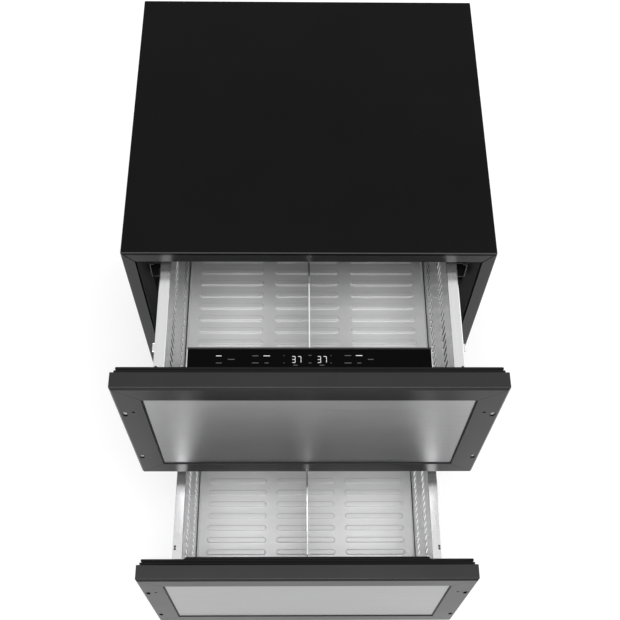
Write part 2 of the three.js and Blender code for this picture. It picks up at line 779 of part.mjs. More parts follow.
// Condenser: a tube between two standing side plates, with wires that stiffen it.
function condenser() {
  const y = machineMiddle;
  const pitch = condenserPitch;
  const [x0, x1] = [-halfCabinet + condenserInset, warmFanX - coverSheet - condenserFanGap];
  const low = machineFloor + pitch * 1.5;
  const top = low + (condenserRows - 0.5) * pitch;
  const half = condenserPlateSheet / 2;
  const tube = serpentine(condenserTube, [x0, x1], y, low, condenserRows, pitch);
  const plates = [x0 + condenserPlateInset, x1 - condenserPlateInset].map((x) => {
    return block([x - half, x + half], [y - condenserPlateDepth / 2, y + condenserPlateDepth / 2],
      [machineFloor, top]);
  });
  const wires = Array.from({ length: condenserWires }, (_, i) => {
    const x = x0 + ((x1 - x0) * (i + 1)) / (condenserWires + 1);
    return block([x - half, x + half], [y - condenserTube - half, y - condenserTube + half],
      [low - pitch / 2, top]);
  });
  return join(tube, ...plates, ...wires);
}

// Hermetic compressor: a welded can on a plate with four rubber bushes.
function compressor() {
  const r = compressorRadius;
  const low = machineFloor + bushHeight + footPlateSheet / 2;
  const top = drainPanBottom - seat;
  const seam = low + seamLift;
  const profile = [
    [0, low], [r - shoulderRadius, low], [r, low + shoulderRadius], [r, seam - seamHeight / 2 - 1],
    [r + seamWidth, seam - seamHeight / 2], [r + seamWidth, seam + seamHeight / 2],
    [r, seam + seamHeight / 2 + 1], [r, top - domeRise], [r - shoulderRadius, top - domeRise / 3],
    [r - 2 * shoulderRadius, top], [0, top],
  ].map(([radius, z]) => new THREE.Vector2(radius, z));
  const can = new THREE.LatheGeometry(profile, 14).rotateX(Math.PI / 2);
  const bushes = [[-1, -1], [1, -1], [1, 1], [-1, 1]].map(([a, b]) => {
    const place = [a * (r - bushInset), b * (r - bushInset)];
    return rod('z', bushRadius, place, machineFloor, machineFloor + bushHeight, 8);
  });
  const plateLow = machineFloor + bushHeight - footPlateSheet / 2;
  const plate = block([-r, r], [-r, r], [plateLow, plateLow + footPlateSheet]);
  return join(can, plate, ...bushes).translate(compressorX, machineMiddle, 0);
}

// Pan on the compressor's dome, where defrost water dries off.
function drainPan() {
  const r = compressorRadius;
  const inside = r - drainPanSheet;
  const low = drainPanBottom;
  const outer = block([-r, r], [-r, r], [low, low + drainPanHeight]);
  const inner = block([-inside, inside], [-inside, inside], [low + drainPanSheet, low + 2 * drainPanHeight]);
  return cut(outer, inner).translate(compressorX, machineMiddle, 0);
}

// Upright plate that draws air through the condenser, with the fan motor on its arms.
function fanShroud() {
  const [front, back] = [machineFront + seat, cabinetDepth - cabinetSheet - 2 * seat - baseSheet];
  const plate = cut(
    block([warmFanX - coverSheet, warmFanX], [front, back], [machineFloor, machineHeight - seat]),
    rod('x', fanRadius + fanTipClear, warmFanAt, warmFanX - 2 * coverSheet, warmFanX + coverSheet, 20),
  );
  return join(plate, alongWidth(motorOnArms(), warmFanAt, warmFanX));
}

// ---------------------------------------------------------------- slides

// Cross-sections of a slide, as (distance out from the bin wall, height from the middle).
function channel(web, toEdge, half, sheet, opensOut) {
  const back = opensOut ? web : web + sheet;
  const inside = opensOut ? web + sheet : web;
  return [
    [back, -half], [toEdge, -half], [toEdge, -half + sheet], [inside, -half + sheet],
    [inside, half - sheet], [toEdge, half - sheet], [toEdge, half], [back, half],
  ];
}

// A slide member along Y on the left of the drawer, or on the right when side is 1.
function slideMember(points, side, rim, y0, y1) {
  const middle = rim - slideDrop - slideHeight / 2;
  const wall = binHalf + binSheet + seat;
  const across = points.map(([out, z]) => [side * (wall + out), middle + z]);
  return alongY(outline(across), y0, y1);
}

const slideOuterHalf = slideHeight / 2;
const slideMiddleHalf = slideOuterHalf - slideSheet - slideRun;
const slideInnerHalf = slideMiddleHalf - slideSheet - slideRun;
const slideInnerEdge = slideThickness / 2 - slideRun;
const slideMiddleWeb = slideThickness / 2;
const slideOuterWeb = slideThickness - slideSheet;

const innerSection = channel(0, slideInnerEdge, slideInnerHalf, slideSheet, true);
const middleSection = channel(slideMiddleWeb, slideSheet + slideRun, slideMiddleHalf, slideSheet, false);

// The fixed member and its spacer to the liner wall are one folded channel.
function fixedSlide(side, rim, back) {
  const reach = linerHalf - binHalf - binSheet - 2 * seat;
  const sheet = slideSheet;
  const half = slideOuterHalf;
  const points = [
    [slideSheet + slideRun, -half], [reach, -half], [reach, -half + sheet],
    [slideOuterWeb + sheet, -half + sheet], [slideOuterWeb + sheet, half - sheet],
    [reach, half - sheet], [reach, half], [slideSheet + slideRun, half],
    [slideSheet + slideRun, half - sheet], [slideOuterWeb, half - sheet],
    [slideOuterWeb, -half + sheet], [slideSheet + slideRun, -half + sheet],
  ];
  return slideMember(points, side, rim, slideFront, back - slideRearClear);
}

// ---------------------------------------------------------------- drawers
// Each drawer is drawn in its own frame, with y = 0 at the face of its front.

const upper = {
  name: 'upper',
  bottom: upperFrontBottom,
  top: upperFrontTop,
  rim: upperRim,
  floor: mullionTop + upperFloorLift,
  back: upperBinBack - shutFront,
  opening: upperOpening,
  screwSetback: upperScrewSetback,
  hasConsole: true,
};
const lower = {
  name: 'lower',
  bottom: lowerFrontBottom,
  top: lowerFrontTop,
  rim: lowerRim,
  floor: sillTop + lowerFloorLift,
  back: lowerBinBack - shutFront,
  opening: lowerOpening,
  screwSetback: lowerScrewSetback,
  hasConsole: false,
};

const innerFrame = frameWidth - frameRebate;
const linerPlateBack = frontDepth + seat + linerSheet;
const consoleTop = ceiling - consoleClear;
const consoleBottom = consoleTop - consoleHeight;
const consoleBack = frontDepth + consoleDepth;
const consoleHalf = binHalf - consoleInset;
const plinthBack = frontDepth + plinthDepth;
const plinthTop = (drawer) => (drawer.hasConsole ? consoleBottom - seat : drawer.rim - plinthDrop);

// The frame's section, from its outer edge inwards and from its face backwards.
const frameProfile = [
  [frameNose, 0], [frameWidth - frameEase / 2, 0], [frameWidth, frameEase / 2], [frameWidth, frameLip],
  [innerFrame, frameLip], [innerFrame, frontDepth], [frameEase, frontDepth],
  [0, frontDepth - frameEase], [0, frameNose],
];

// Four mitred bars; the stiles have the holes that a cabinet maker's panel is screwed through.
function frontFrame({ name, bottom, top }) {
  const height = top - bottom;
  const middle = (top + bottom) / 2;
  const rail = () => mitredBar(frameProfile, frontWidth);
  const stile = () => mitredBar(frameProfile, height);
  const topRail = rail().rotateY(Math.PI).translate(0, 0, top);
  const bottomRail = rail().translate(0, 0, bottom);
  const drilled = (bar, side) => {
    const panelX = side * (frontWidth / 2 - panelHoleInset);
    const pinX = side * (frontWidth / 2 - pinHoleInset);
    const holes = [0, panelHolePitch].map((drop) => {
      return rod('y', panelHoleRadius, [panelX, top - panelHoleDrop - drop], -1, frontDepth + 1, 14);
    });
    const pin = rod('y', pinHoleRadius, [pinX, top - pinHoleDrop], -1, frontDepth / 2, 8);
    return cut(bar, ...holes, pin);
  };
  const left = drilled(stile().rotateY(Math.PI / 2).translate(-frontWidth / 2, 0, middle), -1);
  const right = drilled(stile().rotateY(-Math.PI / 2).translate(frontWidth / 2, 0, middle), 1);
  return [
    part(`${name}_front_top_rail`, topRail, charcoal),
    part(`${name}_front_bottom_rail`, bottomRail, charcoal),
    part(`${name}_front_left_stile`, left, charcoal),
    part(`${name}_front_right_stile`, right, charcoal),
  ];
}

// Stainless panel caught behind the frame's lip.
function frontPanel({ bottom, top }) {
  const wide = frontWidth / 2 - innerFrame - seat;
  const front = frameLip + seat;
  const hidden = innerFrame + seat;
  return block([-wide, wide], [front, front + panelSheet], [bottom + hidden, top - hidden]);
}

// Insulated core with the moulded inner face, whose plinth stands into the bin.
function frontLiner(drawer) {
  const { bottom, top, floor } = drawer;
  const wide = frontWidth / 2 - innerFrame - seat;
  const core = block([-wide, wide], [frameLip + panelSheet + 2 * seat, frontDepth + seat + linerSheet / 2],
    [bottom + innerFrame + seat, top - innerFrame - seat]);
  const half = frontWidth / 2 - linerPlateInset;
  const plate = block([-half, half], [frontDepth + seat, linerPlateBack],
    [bottom + linerPlateInset, top - linerPlateInset]);
  const side = binHalf - seat;
  const plinth = block([-side, side], [frontDepth + seat, plinthBack], [floor, plinthTop(drawer)]);
  return join(core, plate, tapered(plinth, drawer));
}

// Draws the plinth's inner face in a little on every side.
function tapered(plinth, drawer) {
  const at = plinth.attributes.position;
  const middle = (drawer.floor + plinthTop(drawer)) / 2;
  for (let i = 0; i < at.count; i += 1) {
    if (at.getY(i) < plinthBack - 1) continue;
    at.setX(i, at.getX(i) - Math.sign(at.getX(i)) * plinthTaper / 2);
    if (at.getZ(i) < middle) at.setZ(i, at.getZ(i) + plinthTaper);
  }
  plinth.computeVertexNormals();
  return plinth;
}

// Magnetic seal in two steps, with a groove between them.
function gasket({ bottom, top }) {
  const base = linerPlateBack + seat;
  const face = frontDepth + gasketDepth;
  const step = base + gasketBaseDepth;
  const [outer, inner] = [gasketInset, gasketInset + gasketWidth];
  const profile = [
    [inner, base], [inner, face], [outer + gasketStep, face],
    [outer + gasketStep, step + gasketGrooveHeight],
    [outer + gasketStep + gasketGroove, step + gasketGrooveHeight],
    [outer + gasketStep + gasketGroove, step], [outer, step], [outer, base],
  ];
  return squareRing(profile, frontWidth, top - bottom, (top + bottom) / 2);
}

// Slotted right side of a bin, with a rim that covers the slide and a lip under the tray.
function binWall(drawer) {
  const { rim, floor, back, screwSetback } = drawer;
  const front = linerPlateBack + seat;
  const low = floor - traySheet - seat - binSheet;
  const face = binHalf + binSheet;
  const edge = binHalf + rimWidth;
  const first = plinthBack + slotMargin;
  const count = Math.floor((back - slotMargin - first) / slotPitch) + 1;
  const slots = [];
  for (const z of [rim - slotUpperDrop, floor + slotLowerLift]) {
    for (let i = 0; i < count; i += 1) {
      const y = first + i * slotPitch;
      slots.push(block([binHalf - binSheet, face + binSheet], [y - slotWidth / 2, y + slotWidth / 2],
        [z - slotHeight / 2, z + slotHeight / 2]));
    }
  }
  const section = outline([
    [binHalf - trayLip, low], [face, low], [face, rim - binSheet], [edge - binSheet, rim - binSheet],
    [edge - binSheet, rim - rimHem], [edge, rim - rimHem], [edge, rim], [binHalf, rim],
    [binHalf, low + binSheet], [binHalf - trayLip, low + binSheet],
  ]);
  const sheet = punch(alongY(section, front, back), slots);
  const corner = block([0, binHalf], [0, plinthBack + seat], [low - 1, low + 2 * binSheet]);
  const holes = [0, screwHolePitch].map((step) => {
    const place = [binHalf + rimWidth * 0.75, frontDepth + screwSetback + step];
    return rod('z', screwHoleRadius, place, rim - 2 * binSheet, rim + 1, 8);
  });
  const wall = cut(sheet, corner, ...holes);
  return drawer.hasConsole ? join(wall, rimTab(rim)) : wall;
}

// Small tab on the outer edge of the rim.
function rimTab(rim) {
  const edge = binHalf + rimWidth;
  const start = frontDepth + tabSetback;
  return block([edge - binSheet / 2, edge + tabWidth], [start, start + tabLength],
    [rim - rimHem, rim - binSheet]);
}

// Rear of a bin, with a hem along its top.
function binRear(drawer) {
  const { rim, floor, back } = drawer;
  const wide = binHalf - seat;
  const low = floor - traySheet;
  const hem = back - rearHem;
  return alongX(outline([
    [back - binSheet, low], [back, low], [back, rim], [hem, rim], [hem, rim - rimHem],
    [hem + binSheet, rim - rimHem], [hem + binSheet, rim - binSheet], [back - binSheet, rim - binSheet],
  ]), -wide, wide);
}

// One embossed rib: a long rounded bump with sloping sides, along X.
function rib(ribLength) {
  const steps = 3;
  const ring = (inset, z) => {
    const r = ribWidth / 2 - inset;
    const half = ribLength / 2 - ribWidth / 2;
    return [1, -1].flatMap((end) => Array.from({ length: steps + 1 }, (_, k) => {
      const angle = (k / steps - end / 2) * Math.PI;
      return [end * half + r * Math.cos(angle), r * Math.sin(angle), z];
    }));
  };
  const base = ring(0, -traySheet / 2);
  const crown = ring(ribSlope, ribHeight);
  const count = base.length;
  const places = [...base, ...crown].flat();
  const faces = [];
  for (let i = 0; i < count; i += 1) {
    const j = (i + 1) % count;
    faces.push(i, j, count + j, i, count + j, count + i);
    if (i > 0 && i < count - 1) faces.push(0, i + 1, i, count, count + i, count + i + 1);
  }
  const geometry = new THREE.BufferGeometry();
  geometry.setAttribute('position', new THREE.Float32BufferAttribute(places, 3));
  geometry.setIndex(faces);
  return geometry;
}

// Removable floor tray with three columns of ribs and a lip all round.
function floorTray(drawer) {
  const { floor } = drawer;
  const wide = binHalf - trayClear;
  const inside = wide - traySheet;
  const front = plinthBack + seat;
  const back = drawer.back - binSheet - seat;
  const pan = cut(
    block([-wide, wide], [front, back], [floor - traySheet, floor + trayLip]),
    block([-inside, inside], [front + traySheet, back - traySheet], [floor, floor + 2 * trayLip]),
  );
  const ribLength = (2 * (wide - ribSideMargin) - (ribColumns - 1) * ribGap) / ribColumns;
  const rows = Math.floor((back - front - 2 * ribMargin) / ribPitch) + 1;
  const start = front + ribMargin;
  let sum = toSolid(pan);
  const bump = toSolid(rib(ribLength));
  for (let row = 0; row < rows; row += 1) {
    for (let column = 0; column < ribColumns; column += 1) {
      const x = (column - (ribColumns - 1) / 2) * (ribLength + ribGap);
      sum = sum.add(bump.translate([x, start + row * ribPitch, floor]));
    }
  }
  return toGeometry(sum);
}

// Upright divider from front to back, notched under the console where there is one.
function binDivider(drawer) {
  const low = drawer.floor + ribHeight + seat;
  const high = drawer.rim - dividerDrop;
  const front = plinthBack + traySheet + 2 * seat;
  const back = drawer.back - binSheet - traySheet - 2 * seat;
  const step = drawer.hasConsole ? consoleBack + seat : front;
  const neck = drawer.hasConsole ? consoleBottom - seat : high;
  const points = [[front, low], [back, low], [back, high], [step, high]];
  if (drawer.hasConsole) points.push([step, neck], [front, neck]);
  const sheet = alongX(outline(points), -dividerSheet / 2, dividerSheet / 2);
  const bead = block([-dividerBead / 2, dividerBead / 2], [step, back - rearHem], [high - dividerBead, high]);
  return join(sheet, bead);
}

// Housing of the controls: a box with a sloping back edge and a seat for its glass.
function consoleBody() {
  const front = linerPlateBack + seat;
  const back = consoleBack;
  const rest = back - consoleBevel - consoleTrim;
  return alongX(outline([
    [front, consoleBottom], [back, consoleBottom], [back, consoleTop - consoleBevelDrop],
    [back - consoleBevel, consoleTop], [rest, consoleTop], [rest, consoleTop - glassSheet],
    [front, consoleTop - glassSheet],
  ]), -consoleHalf, consoleHalf);
}

function consoleGlass() {
  const front = linerPlateBack + seat;
  const rest = consoleBack - consoleBevel - consoleTrim - seat;
  return block([-consoleHalf, consoleHalf], [front, rest], [consoleTop - glassSheet + seat, consoleTop]);
}

function drawerGroup(drawer) {
  const { name, rim, back } = drawer;
  const group = new THREE.Group();
  group.position.y = shutFront - drawer.opening;
  const slideStart = slideFront - shutFront;
  const slideEnd = back - slideRearClear;
  const sides = [['left', -1], ['right', 1]];
  const wall = binWall(drawer);
  group.add(
    ...frontFrame(drawer),
    part(`${name}_front_panel`, frontPanel(drawer), brushed),
    part(`${name}_front_liner`, frontLiner(drawer), glossBlack),
    part(`${name}_gasket`, gasket(drawer), sealGrey),
    part(`${name}_bin_left_wall`, mirrored(wall), brushed),
    part(`${name}_bin_right_wall`, wall, brushed),
    part(`${name}_bin_rear_wall`, binRear(drawer), brushed),
    part(`${name}_floor_tray`, floorTray(drawer), brushed),
    part(`${name}_bin_divider`, binDivider(drawer), polished),
    ...sides.map(([word, side]) => {
      const member = slideMember(innerSection, side, rim, slideStart, slideEnd);
      return part(`${name}_${word}_slide_inner`, member, zinc);
    }),
  );
  if (drawer.hasConsole) {
    group.add(part('console_body', consoleBody(), darkPlastic));
    group.add(part('console_glass', consoleGlass(), glossBlack));
  }
  return group;
}

// The middle members travel half as far as the drawer.
function slideGroup(drawer) {
  const { name, rim } = drawer;
  const group = new THREE.Group();
  const end = drawer.back + shutFront - slideRearClear;
  const rest = -drawer.opening / 2;
  for (const [word, side] of [['left', -1], ['right', 1]]) {
    const member = slideMember(middleSection, side, rim, slideFront, end);
    const middle = part(`${name}_${word}_slide_middle`, member, zinc);
    middle.position.y = rest;
    const rail = fixedSlide(side, rim, end + slideRearClear);
    group.add(middle, part(`${name}_${word}_slide_rail`, rail, enamel));
  }
  return group;
}

// ---------------------------------------------------------------- assembly

function cabinetGroup() {
  const group = new THREE.Group();
  group.add(
    part('cabinet_wrapper', cabinetWrapper(), blackPaint),
    part('rear_panel', rearPanel(), zinc),
    part('insulation', insulation(), foam),
    part('upper_liner', liner(mullionTop, ceiling, upperLinerBack), darkPlastic),
    part('lower_liner', liner(sillTop, mullionBottom, lowerLinerBack), darkPlastic),
    part('breaker_frame', breakerFrame(), darkPlastic),
    part('base_pan', basePan(), zinc),
    part('compartment_shroud', compartmentShroud(), zinc),
    part('kick_grille', kickGrille(), blackPaint),
    part('machine_cover', machineCover(), zinc),
    ...footPlaces.map((place, i) => part(footNames[i], foot(place), zinc)),
  );
  return group;
}

function coolingGroup() {
  const group = new THREE.Group();
  const coldFan = alongDepth(fan(), [0, coldFanZ], evaporatorFront + coverSheet);
  group.add(
    part('evaporator_cover', evaporatorCover(), whitePlastic),
    part('evaporator_coil', evaporatorCoil(), zinc),
    part('evaporator_fan', coldFan, darkPlastic),
    part('compressor', compressor(), enamel),
    part('drain_pan', drainPan(), darkPlastic),
    part('condenser', condenser(), enamel),
    part('condenser_fan_shroud', fanShroud(), darkPlastic),
    part('condenser_fan', alongWidth(fan(), warmFanAt, warmFanX), darkPlastic),
  );
  return group;
}

const refrigerator = new THREE.Group();
refrigerator.add(cabinetGroup(), coolingGroup());
for (const drawer of [upper, lower]) refrigerator.add(slideGroup(drawer), drawerGroup(drawer));

// The origin lies on the floor, half way between the foremost and the rearmost points.
const foremost = shutFront - Math.max(upperOpening, lowerOpening);
const rearmost = cabinetDepth + glandLip;
refrigerator.position.y = -(foremost + rearmost) / 2;

export default refrigerator;
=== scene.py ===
"""Undercounter refrigerator with two drawers: finishes, detailed pieces, light and camera."""
import json
import math

import bmesh
import bpy
from mathutils import Matrix, Vector

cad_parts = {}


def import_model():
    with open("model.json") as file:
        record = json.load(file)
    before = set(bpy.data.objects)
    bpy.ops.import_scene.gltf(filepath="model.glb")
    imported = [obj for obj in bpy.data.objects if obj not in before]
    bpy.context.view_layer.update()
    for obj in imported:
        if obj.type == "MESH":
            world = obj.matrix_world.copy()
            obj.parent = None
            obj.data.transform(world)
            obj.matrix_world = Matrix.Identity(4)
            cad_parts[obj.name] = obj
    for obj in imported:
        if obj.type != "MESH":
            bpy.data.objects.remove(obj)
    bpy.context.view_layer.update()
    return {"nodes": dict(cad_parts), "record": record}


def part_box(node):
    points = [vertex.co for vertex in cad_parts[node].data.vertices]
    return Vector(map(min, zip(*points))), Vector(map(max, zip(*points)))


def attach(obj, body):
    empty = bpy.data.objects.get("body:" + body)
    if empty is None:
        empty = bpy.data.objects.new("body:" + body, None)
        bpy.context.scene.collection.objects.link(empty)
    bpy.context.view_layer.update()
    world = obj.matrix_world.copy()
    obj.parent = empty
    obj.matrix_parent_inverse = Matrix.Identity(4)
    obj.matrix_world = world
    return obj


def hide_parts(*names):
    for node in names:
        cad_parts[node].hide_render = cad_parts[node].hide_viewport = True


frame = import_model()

MM = 0.001
DRAWERS = ("upper", "lower")
SIDES = (("left", -1), ("right", 1))
NODES = frame["nodes"]
BODIES = frame["record"]["behaviour"]["bodies"]
BODY_OF = {node: body for body, group in BODIES.items() for node in group}
SLOT_OF = {row["node"]: row["material_slot"] for row in frame["record"]["subparts"]}

# ---------------------------------------------------------------- sizes of the details

SHEET = 1.0 * MM                 # bins and cabinet
TRAY_SHEET = 1.2 * MM
TRAY_FILLET = 2.2 * MM
TRAY_CORNER = 5.0 * MM
RIB_PITCH = 25.4 * MM
RIB_WIDTH = 13.0 * MM
RIB_HEIGHT = 3.0 * MM
RIB_CROWN = 3.6 * MM             # radius of the flat top's ends
RIB_GAP = 20.0 * MM
RIB_SIDE = 18.2 * MM             # tray's side to the nearest rib
RIB_MARGIN = 20.0 * MM           # tray's front to the middle of the first rib
RIB_COLUMNS = 3
RIB_STEPS = 6                    # rings from a rib's foot to its crown

WALL_LIP = 8.0 * MM              # fold under the tray
LIP_SETBACK = 23.2 * MM          # the fold starts behind the front's plinth
RIM_WIDTH = 18.0 * MM
RIM_HEM = 4.0 * MM
FOLD_RADIUS = 1.6 * MM
SLOT_WIDTH = 6.2 * MM
SLOT_HEIGHT = 39.0 * MM
SLOT_PITCH = 12.7 * MM
SLOT_START = 36.9 * MM           # wall's front edge to the middle of the first slot
SLOT_END = 14.0 * MM
SLOT_DROP = 75.0 * MM            # rim to the middle of the upper row
SLOT_LIFT = 69.5 * MM            # wall's lower edge to the middle of the lower row
SCREW_RADIUS = 1.5 * MM          # hole for a rim screw
SCREW_PITCH = 4.6 * MM
RIM_SCREW = 2.25 * MM            # radius of its head
RIM_SCREW_PROFILE = [            # radius and height above the rim
    (0.8 * SCREW_RADIUS, -2 * SHEET), (0.8 * SCREW_RADIUS, 0.1 * SHEET), (RIM_SCREW, 0.1 * SHEET),
    (0.9 * RIM_SCREW, 0.6 * SHEET), (0.5 * RIM_SCREW, 0.9 * SHEET)]
SCREW_ACROSS = 13.5 * MM         # inside of the wall to the screws' line
SCREW_SETBACK = {"upper": 20.9 * MM, "lower": 34.3 * MM}
TAB_SIZE = (3.0 * MM, 13.0 * MM, 3.0 * MM)
TAB_EASE = 0.6 * MM
TAB_SETBACK = 53.9 * MM
DIVIDER_EASE = 0.45 * MM
SLIDE_EASE = 0.3 * MM

FRAME_WIDTH = 43.5 * MM
FRAME_LIP = 2.0 * MM
FRAME_REBATE = 5.0 * MM
FRAME_NOSE = 3.5 * MM
FRAME_EASE = 1.2 * MM
LIP_EASE = 0.6 * MM
FRAME_GAP = 0.30 * MM            # half of the open mitre
HOLE_RADIUS = 3.6 * MM           # round ends of the stiles' upright screw slots
HOLE_TALL = 5.0 * MM             # half the straight part of such a slot
HOLE_INSET = 10.8 * MM
HOLE_DROPS = (99.0 * MM, 297.0 * MM)     # front's top to the middle of each slot
PIN_RADIUS = 2.5 * MM            # the small blind hole beside the upper slot
PIN_INSET = 25.5 * MM
PIN_DROP = 91.0 * MM
PIN_DEPTH = 14.0 * MM
HOLE_EASE = 0.4 * MM
SLEEVE_SETBACK = 3.2 * MM
SLEEVE_SHEET = 0.7 * MM
SLEEVE_GAP = 0.05 * MM
PANEL_EASE = 0.25 * MM
SEAL_WIDTH = 2.4 * MM
SEAL_DEPTH = (1.4 * MM, 2.25 * MM)       # its face and back, behind the frame's face
SEAL_EASE = 0.3 * MM
SEAL_INSET = 0.05 * MM           # frame's edge to the seal's face
SEAL_TUCK = 0.1 * MM             # frame's lip to the part of the seal behind it
# The gasket's section in millimetres: inset, depth and rounding; None is its whole depth
GASKET_SECTION = [(0, 0, 0), (0, 3.4, 1.4), (3.2, 3.4, 0.5), (3.2, 4.6, 0.5), (1.6, 5.6, 1.2),
                  (2.0, None, 2.2), (13, None, 2.0), (13, 0, 0)]

CABINET_BEND = 1.8 * MM
CABINET_CORNER = 1.2 * CABINET_BEND
LEAST_CORNER = 0.2 * MM
BEND_STEPS = 6
FLUSH = 0.1 * MM                 # a face this near the front plane lies on it
TOP_GROOVE = 4.0 * MM            # dark groove between the top and the flange below it
TOP_RECESS = 1.2 * MM
FLANGE_SIDE = 20.0 * MM
FLANGE_TOP = 26.0 * MM
FLANGE_RETURN = 14.0 * MM
MITRE_SLIT = 1.8 * MM
TOE_DEPTH = 60.0 * MM
TOE_HEIGHT = 100.0 * MM
RAIL_SHEET = 1.5 * MM
# Lower edge, upper edge and depth of the rail between the drawers and of the sill
CROSS_RAILS = [(461.5 * MM, 501.5 * MM, 4.7 * MM), (TOE_HEIGHT, 135.0 * MM, 25.0 * MM)]
BREAKER_EASE = 0.8 * MM
GRILLE_EASE = 0.4 * MM
COVER_EASE = 0.3 * MM

FOOT_PAD = 7.0 * MM
PAD_EASE = FOOT_PAD / 3
PAD_OVERLAP = 0.6                # share of the pad's height where the stem starts
FOOT_STEM = 5.0 * MM
THREAD_PITCH = 2.0 * MM
THREAD_DEPTH = 0.6 * MM
THREAD_CREST = (0.4, 0.6)        # shares of a turn where the crest starts and ends
NUT_RADIUS = 8.5 * MM
NUT_TOP = 17.7 * MM
NUT_EASE = 0.7 * MM
ON_AXIS = 1e-6                   # radius of a turned shape's closed end
HOOK_WIRE = 0.8 * MM
HOOK_LEAD = 1.4 * HOOK_WIRE      # slide's end to the middle of its wire
HOOK_BEND = 2.5 * MM
# Corners of the wire in millimetres, in from the rail's outer face: the upper two below the
# rail's top, the lower two above its bottom
HOOK_UPPER = [(9.0, 2.0), (2.0, 3.0)]
HOOK_LOWER = [(1.5, 5.0), (7.0, 2.0)]
BEAD_WIDTH = 24.0 * MM
BEAD_DEPTH = 2.8 * MM
BEAD_MARGIN = 60.0 * MM
BEAD_STEPS = 6

PLINTH_EASE = 4.0 * MM
PLATE_DEPTH = 31.0 * MM          # front's face to just behind the moulded plate
CONSOLE_EASE = 0.6 * MM
GLASS_EASE = 0.35 * MM
GLASS_TRIM = 0.8 * MM
TRIM_EASE = GLASS_TRIM / 5
MARK_LIFT = 0.04 * MM
MARK_SHEET = 0.12 * MM
MARK_BAR = 0.9 * MM
MARK_ROUNDING = 2.4              # a bar's thickness over the radius of its corners
DIGIT_WIDTH = 5.0 * MM
DIGIT_HEIGHT = 10.6 * MM
DIGIT_PITCH = 9.0 * MM
DIGIT_STROKE = 0.7 * MM
STROKE_GAP = 0.6 * DIGIT_STROKE  # what an upright stroke leaves free at its ends

SCREW_HEAD = 3.6 * MM
SCREW_RISE = 1.4 * MM
SCREW_SINK = 0.2 * MM
# A rear screw's radius as a share of its head, and its height as a share of its rise
SCREW_PROFILE = [(1.0, 0.4), (0.7, 1.0), (0.34, 1.0), (0.3, 0.5)]
REAR_SCREW_X = 292.0 * MM
REAR_SCREW_MARGIN = 10.0 * MM    # rear sheet's edge to its screws
COVER_SCREW_LIFT = 12.0 * MM     # machine cover's lower edge to its screws


# ---------------------------------------------------------------- material helpers

ONE_NOISE = (0.3, 0.7)           # where most values of a noise lie
TWO_NOISES = (0.7, 1.3)          # where most sums of two noises lie
FINE_GRAIN = 900.0               # how often a noise changes in a metre
COAT_CLOUDS = 7.0
METAL_CLOUDS = (9, 9, 9)
WIDE_SCRATCH = 12                # width of the broad scratches over that of the fine ones
SPANGLES = 110.0                 # crystals in a metre
SPANGLE_SPREAD = 0.10
SPANGLE_DEPTH = 8e-6
GLOW_SPREAD = 0.08
METAL_SWING = 0.05               # what roughness varies by, either way
COAT_SWING = 0.015
SPANGLE_SWING = 0.07


def add(tree, kind, inputs=None, **settings):
    """A shader node; an input is a number, a colour or another node's output."""
    node = tree.nodes.new(kind)
    for key, value in settings.items():
        setattr(node, key, value)
    for key, value in (inputs or {}).items():
        if isinstance(value, bpy.types.NodeSocket):
            tree.links.new(value, node.inputs[key])
        else:
            node.inputs[key].default_value = value
    return node


def noise(tree, stretch, scale, detail=3.0, roughness=0.5):
    """Noise in the object's own metres, with its own scale along X, Y and Z."""
    place = add(tree, "ShaderNodeTexCoord").outputs["Object"]
    mapped = add(tree, "ShaderNodeMapping", {"Vector": place, "Scale": stretch})
    inputs = {"Vector": mapped.outputs[0], "Scale": scale, "Detail": detail, "Roughness": roughness}
    return add(tree, "ShaderNodeTexNoise", inputs).outputs[0]


def ramp(tree, value, low, high, out_low, out_high):
    """Maps value from low..high to out_low..out_high and clips it there."""
    inputs = {0: value, 1: low, 2: high, 3: out_low, 4: out_high}
    return add(tree, "ShaderNodeMapRange", inputs).outputs[0]


def tint(tree, color, value, spread):
    """The colour, made up to `spread` darker and lighter as value goes from 0 to 1."""
    dark = [c * (1 - spread) for c in color] + [1]
    light = [min(c * (1 + spread), 1) for c in color] + [1]
    mix = add(tree, "ShaderNodeMix", {0: value, 6: dark, 7: light}, data_type="RGBA")
    return mix.outputs[2]


def bump(tree, height, distance):
    inputs = {"Height": height, "Distance": distance, "Strength": 1.0}
    return add(tree, "ShaderNodeBump", inputs).outputs[0]


def surface(name):
    material = bpy.data.materials.new(name)
    material.use_nodes = True
    return material, material.node_tree, material.node_tree.nodes["Principled BSDF"]


def brushed_metal(name, color, roughness, grain, depth, spread=0.05, blotch=0.02, metallic=1.0):
    """Metal with fine scratches; grain is the scratches' frequency along X, Y and Z."""
    material, tree, shader = surface(name)
    fine = noise(tree, grain, 1.0, 4.0)
    wide = noise(tree, [g / WIDE_SCRATCH for g in grain], 1.0, 2.0)
    cloud = noise(tree, METAL_CLOUDS, 1.0, 2.0)
    both = add(tree, "ShaderNodeMath", {0: fine, 1: wide}, operation="ADD").outputs[0]
    streak = ramp(tree, both, *TWO_NOISES, 0.0, 1.0)
    tree.links.new(tint(tree, color, streak, spread), shader.inputs["Base Color"])
    base = ramp(tree, both, *TWO_NOISES, roughness - METAL_SWING, roughness + METAL_SWING)
    patch = ramp(tree, cloud, *ONE_NOISE, -blotch, blotch)
    rough = add(tree, "ShaderNodeMath", {0: base, 1: patch}, operation="ADD").outputs[0]
    tree.links.new(rough, shader.inputs["Roughness"])
    tree.links.new(bump(tree, fine, depth), shader.inputs["Normal"])
    shader.inputs["Metallic"].default_value = metallic
    return material


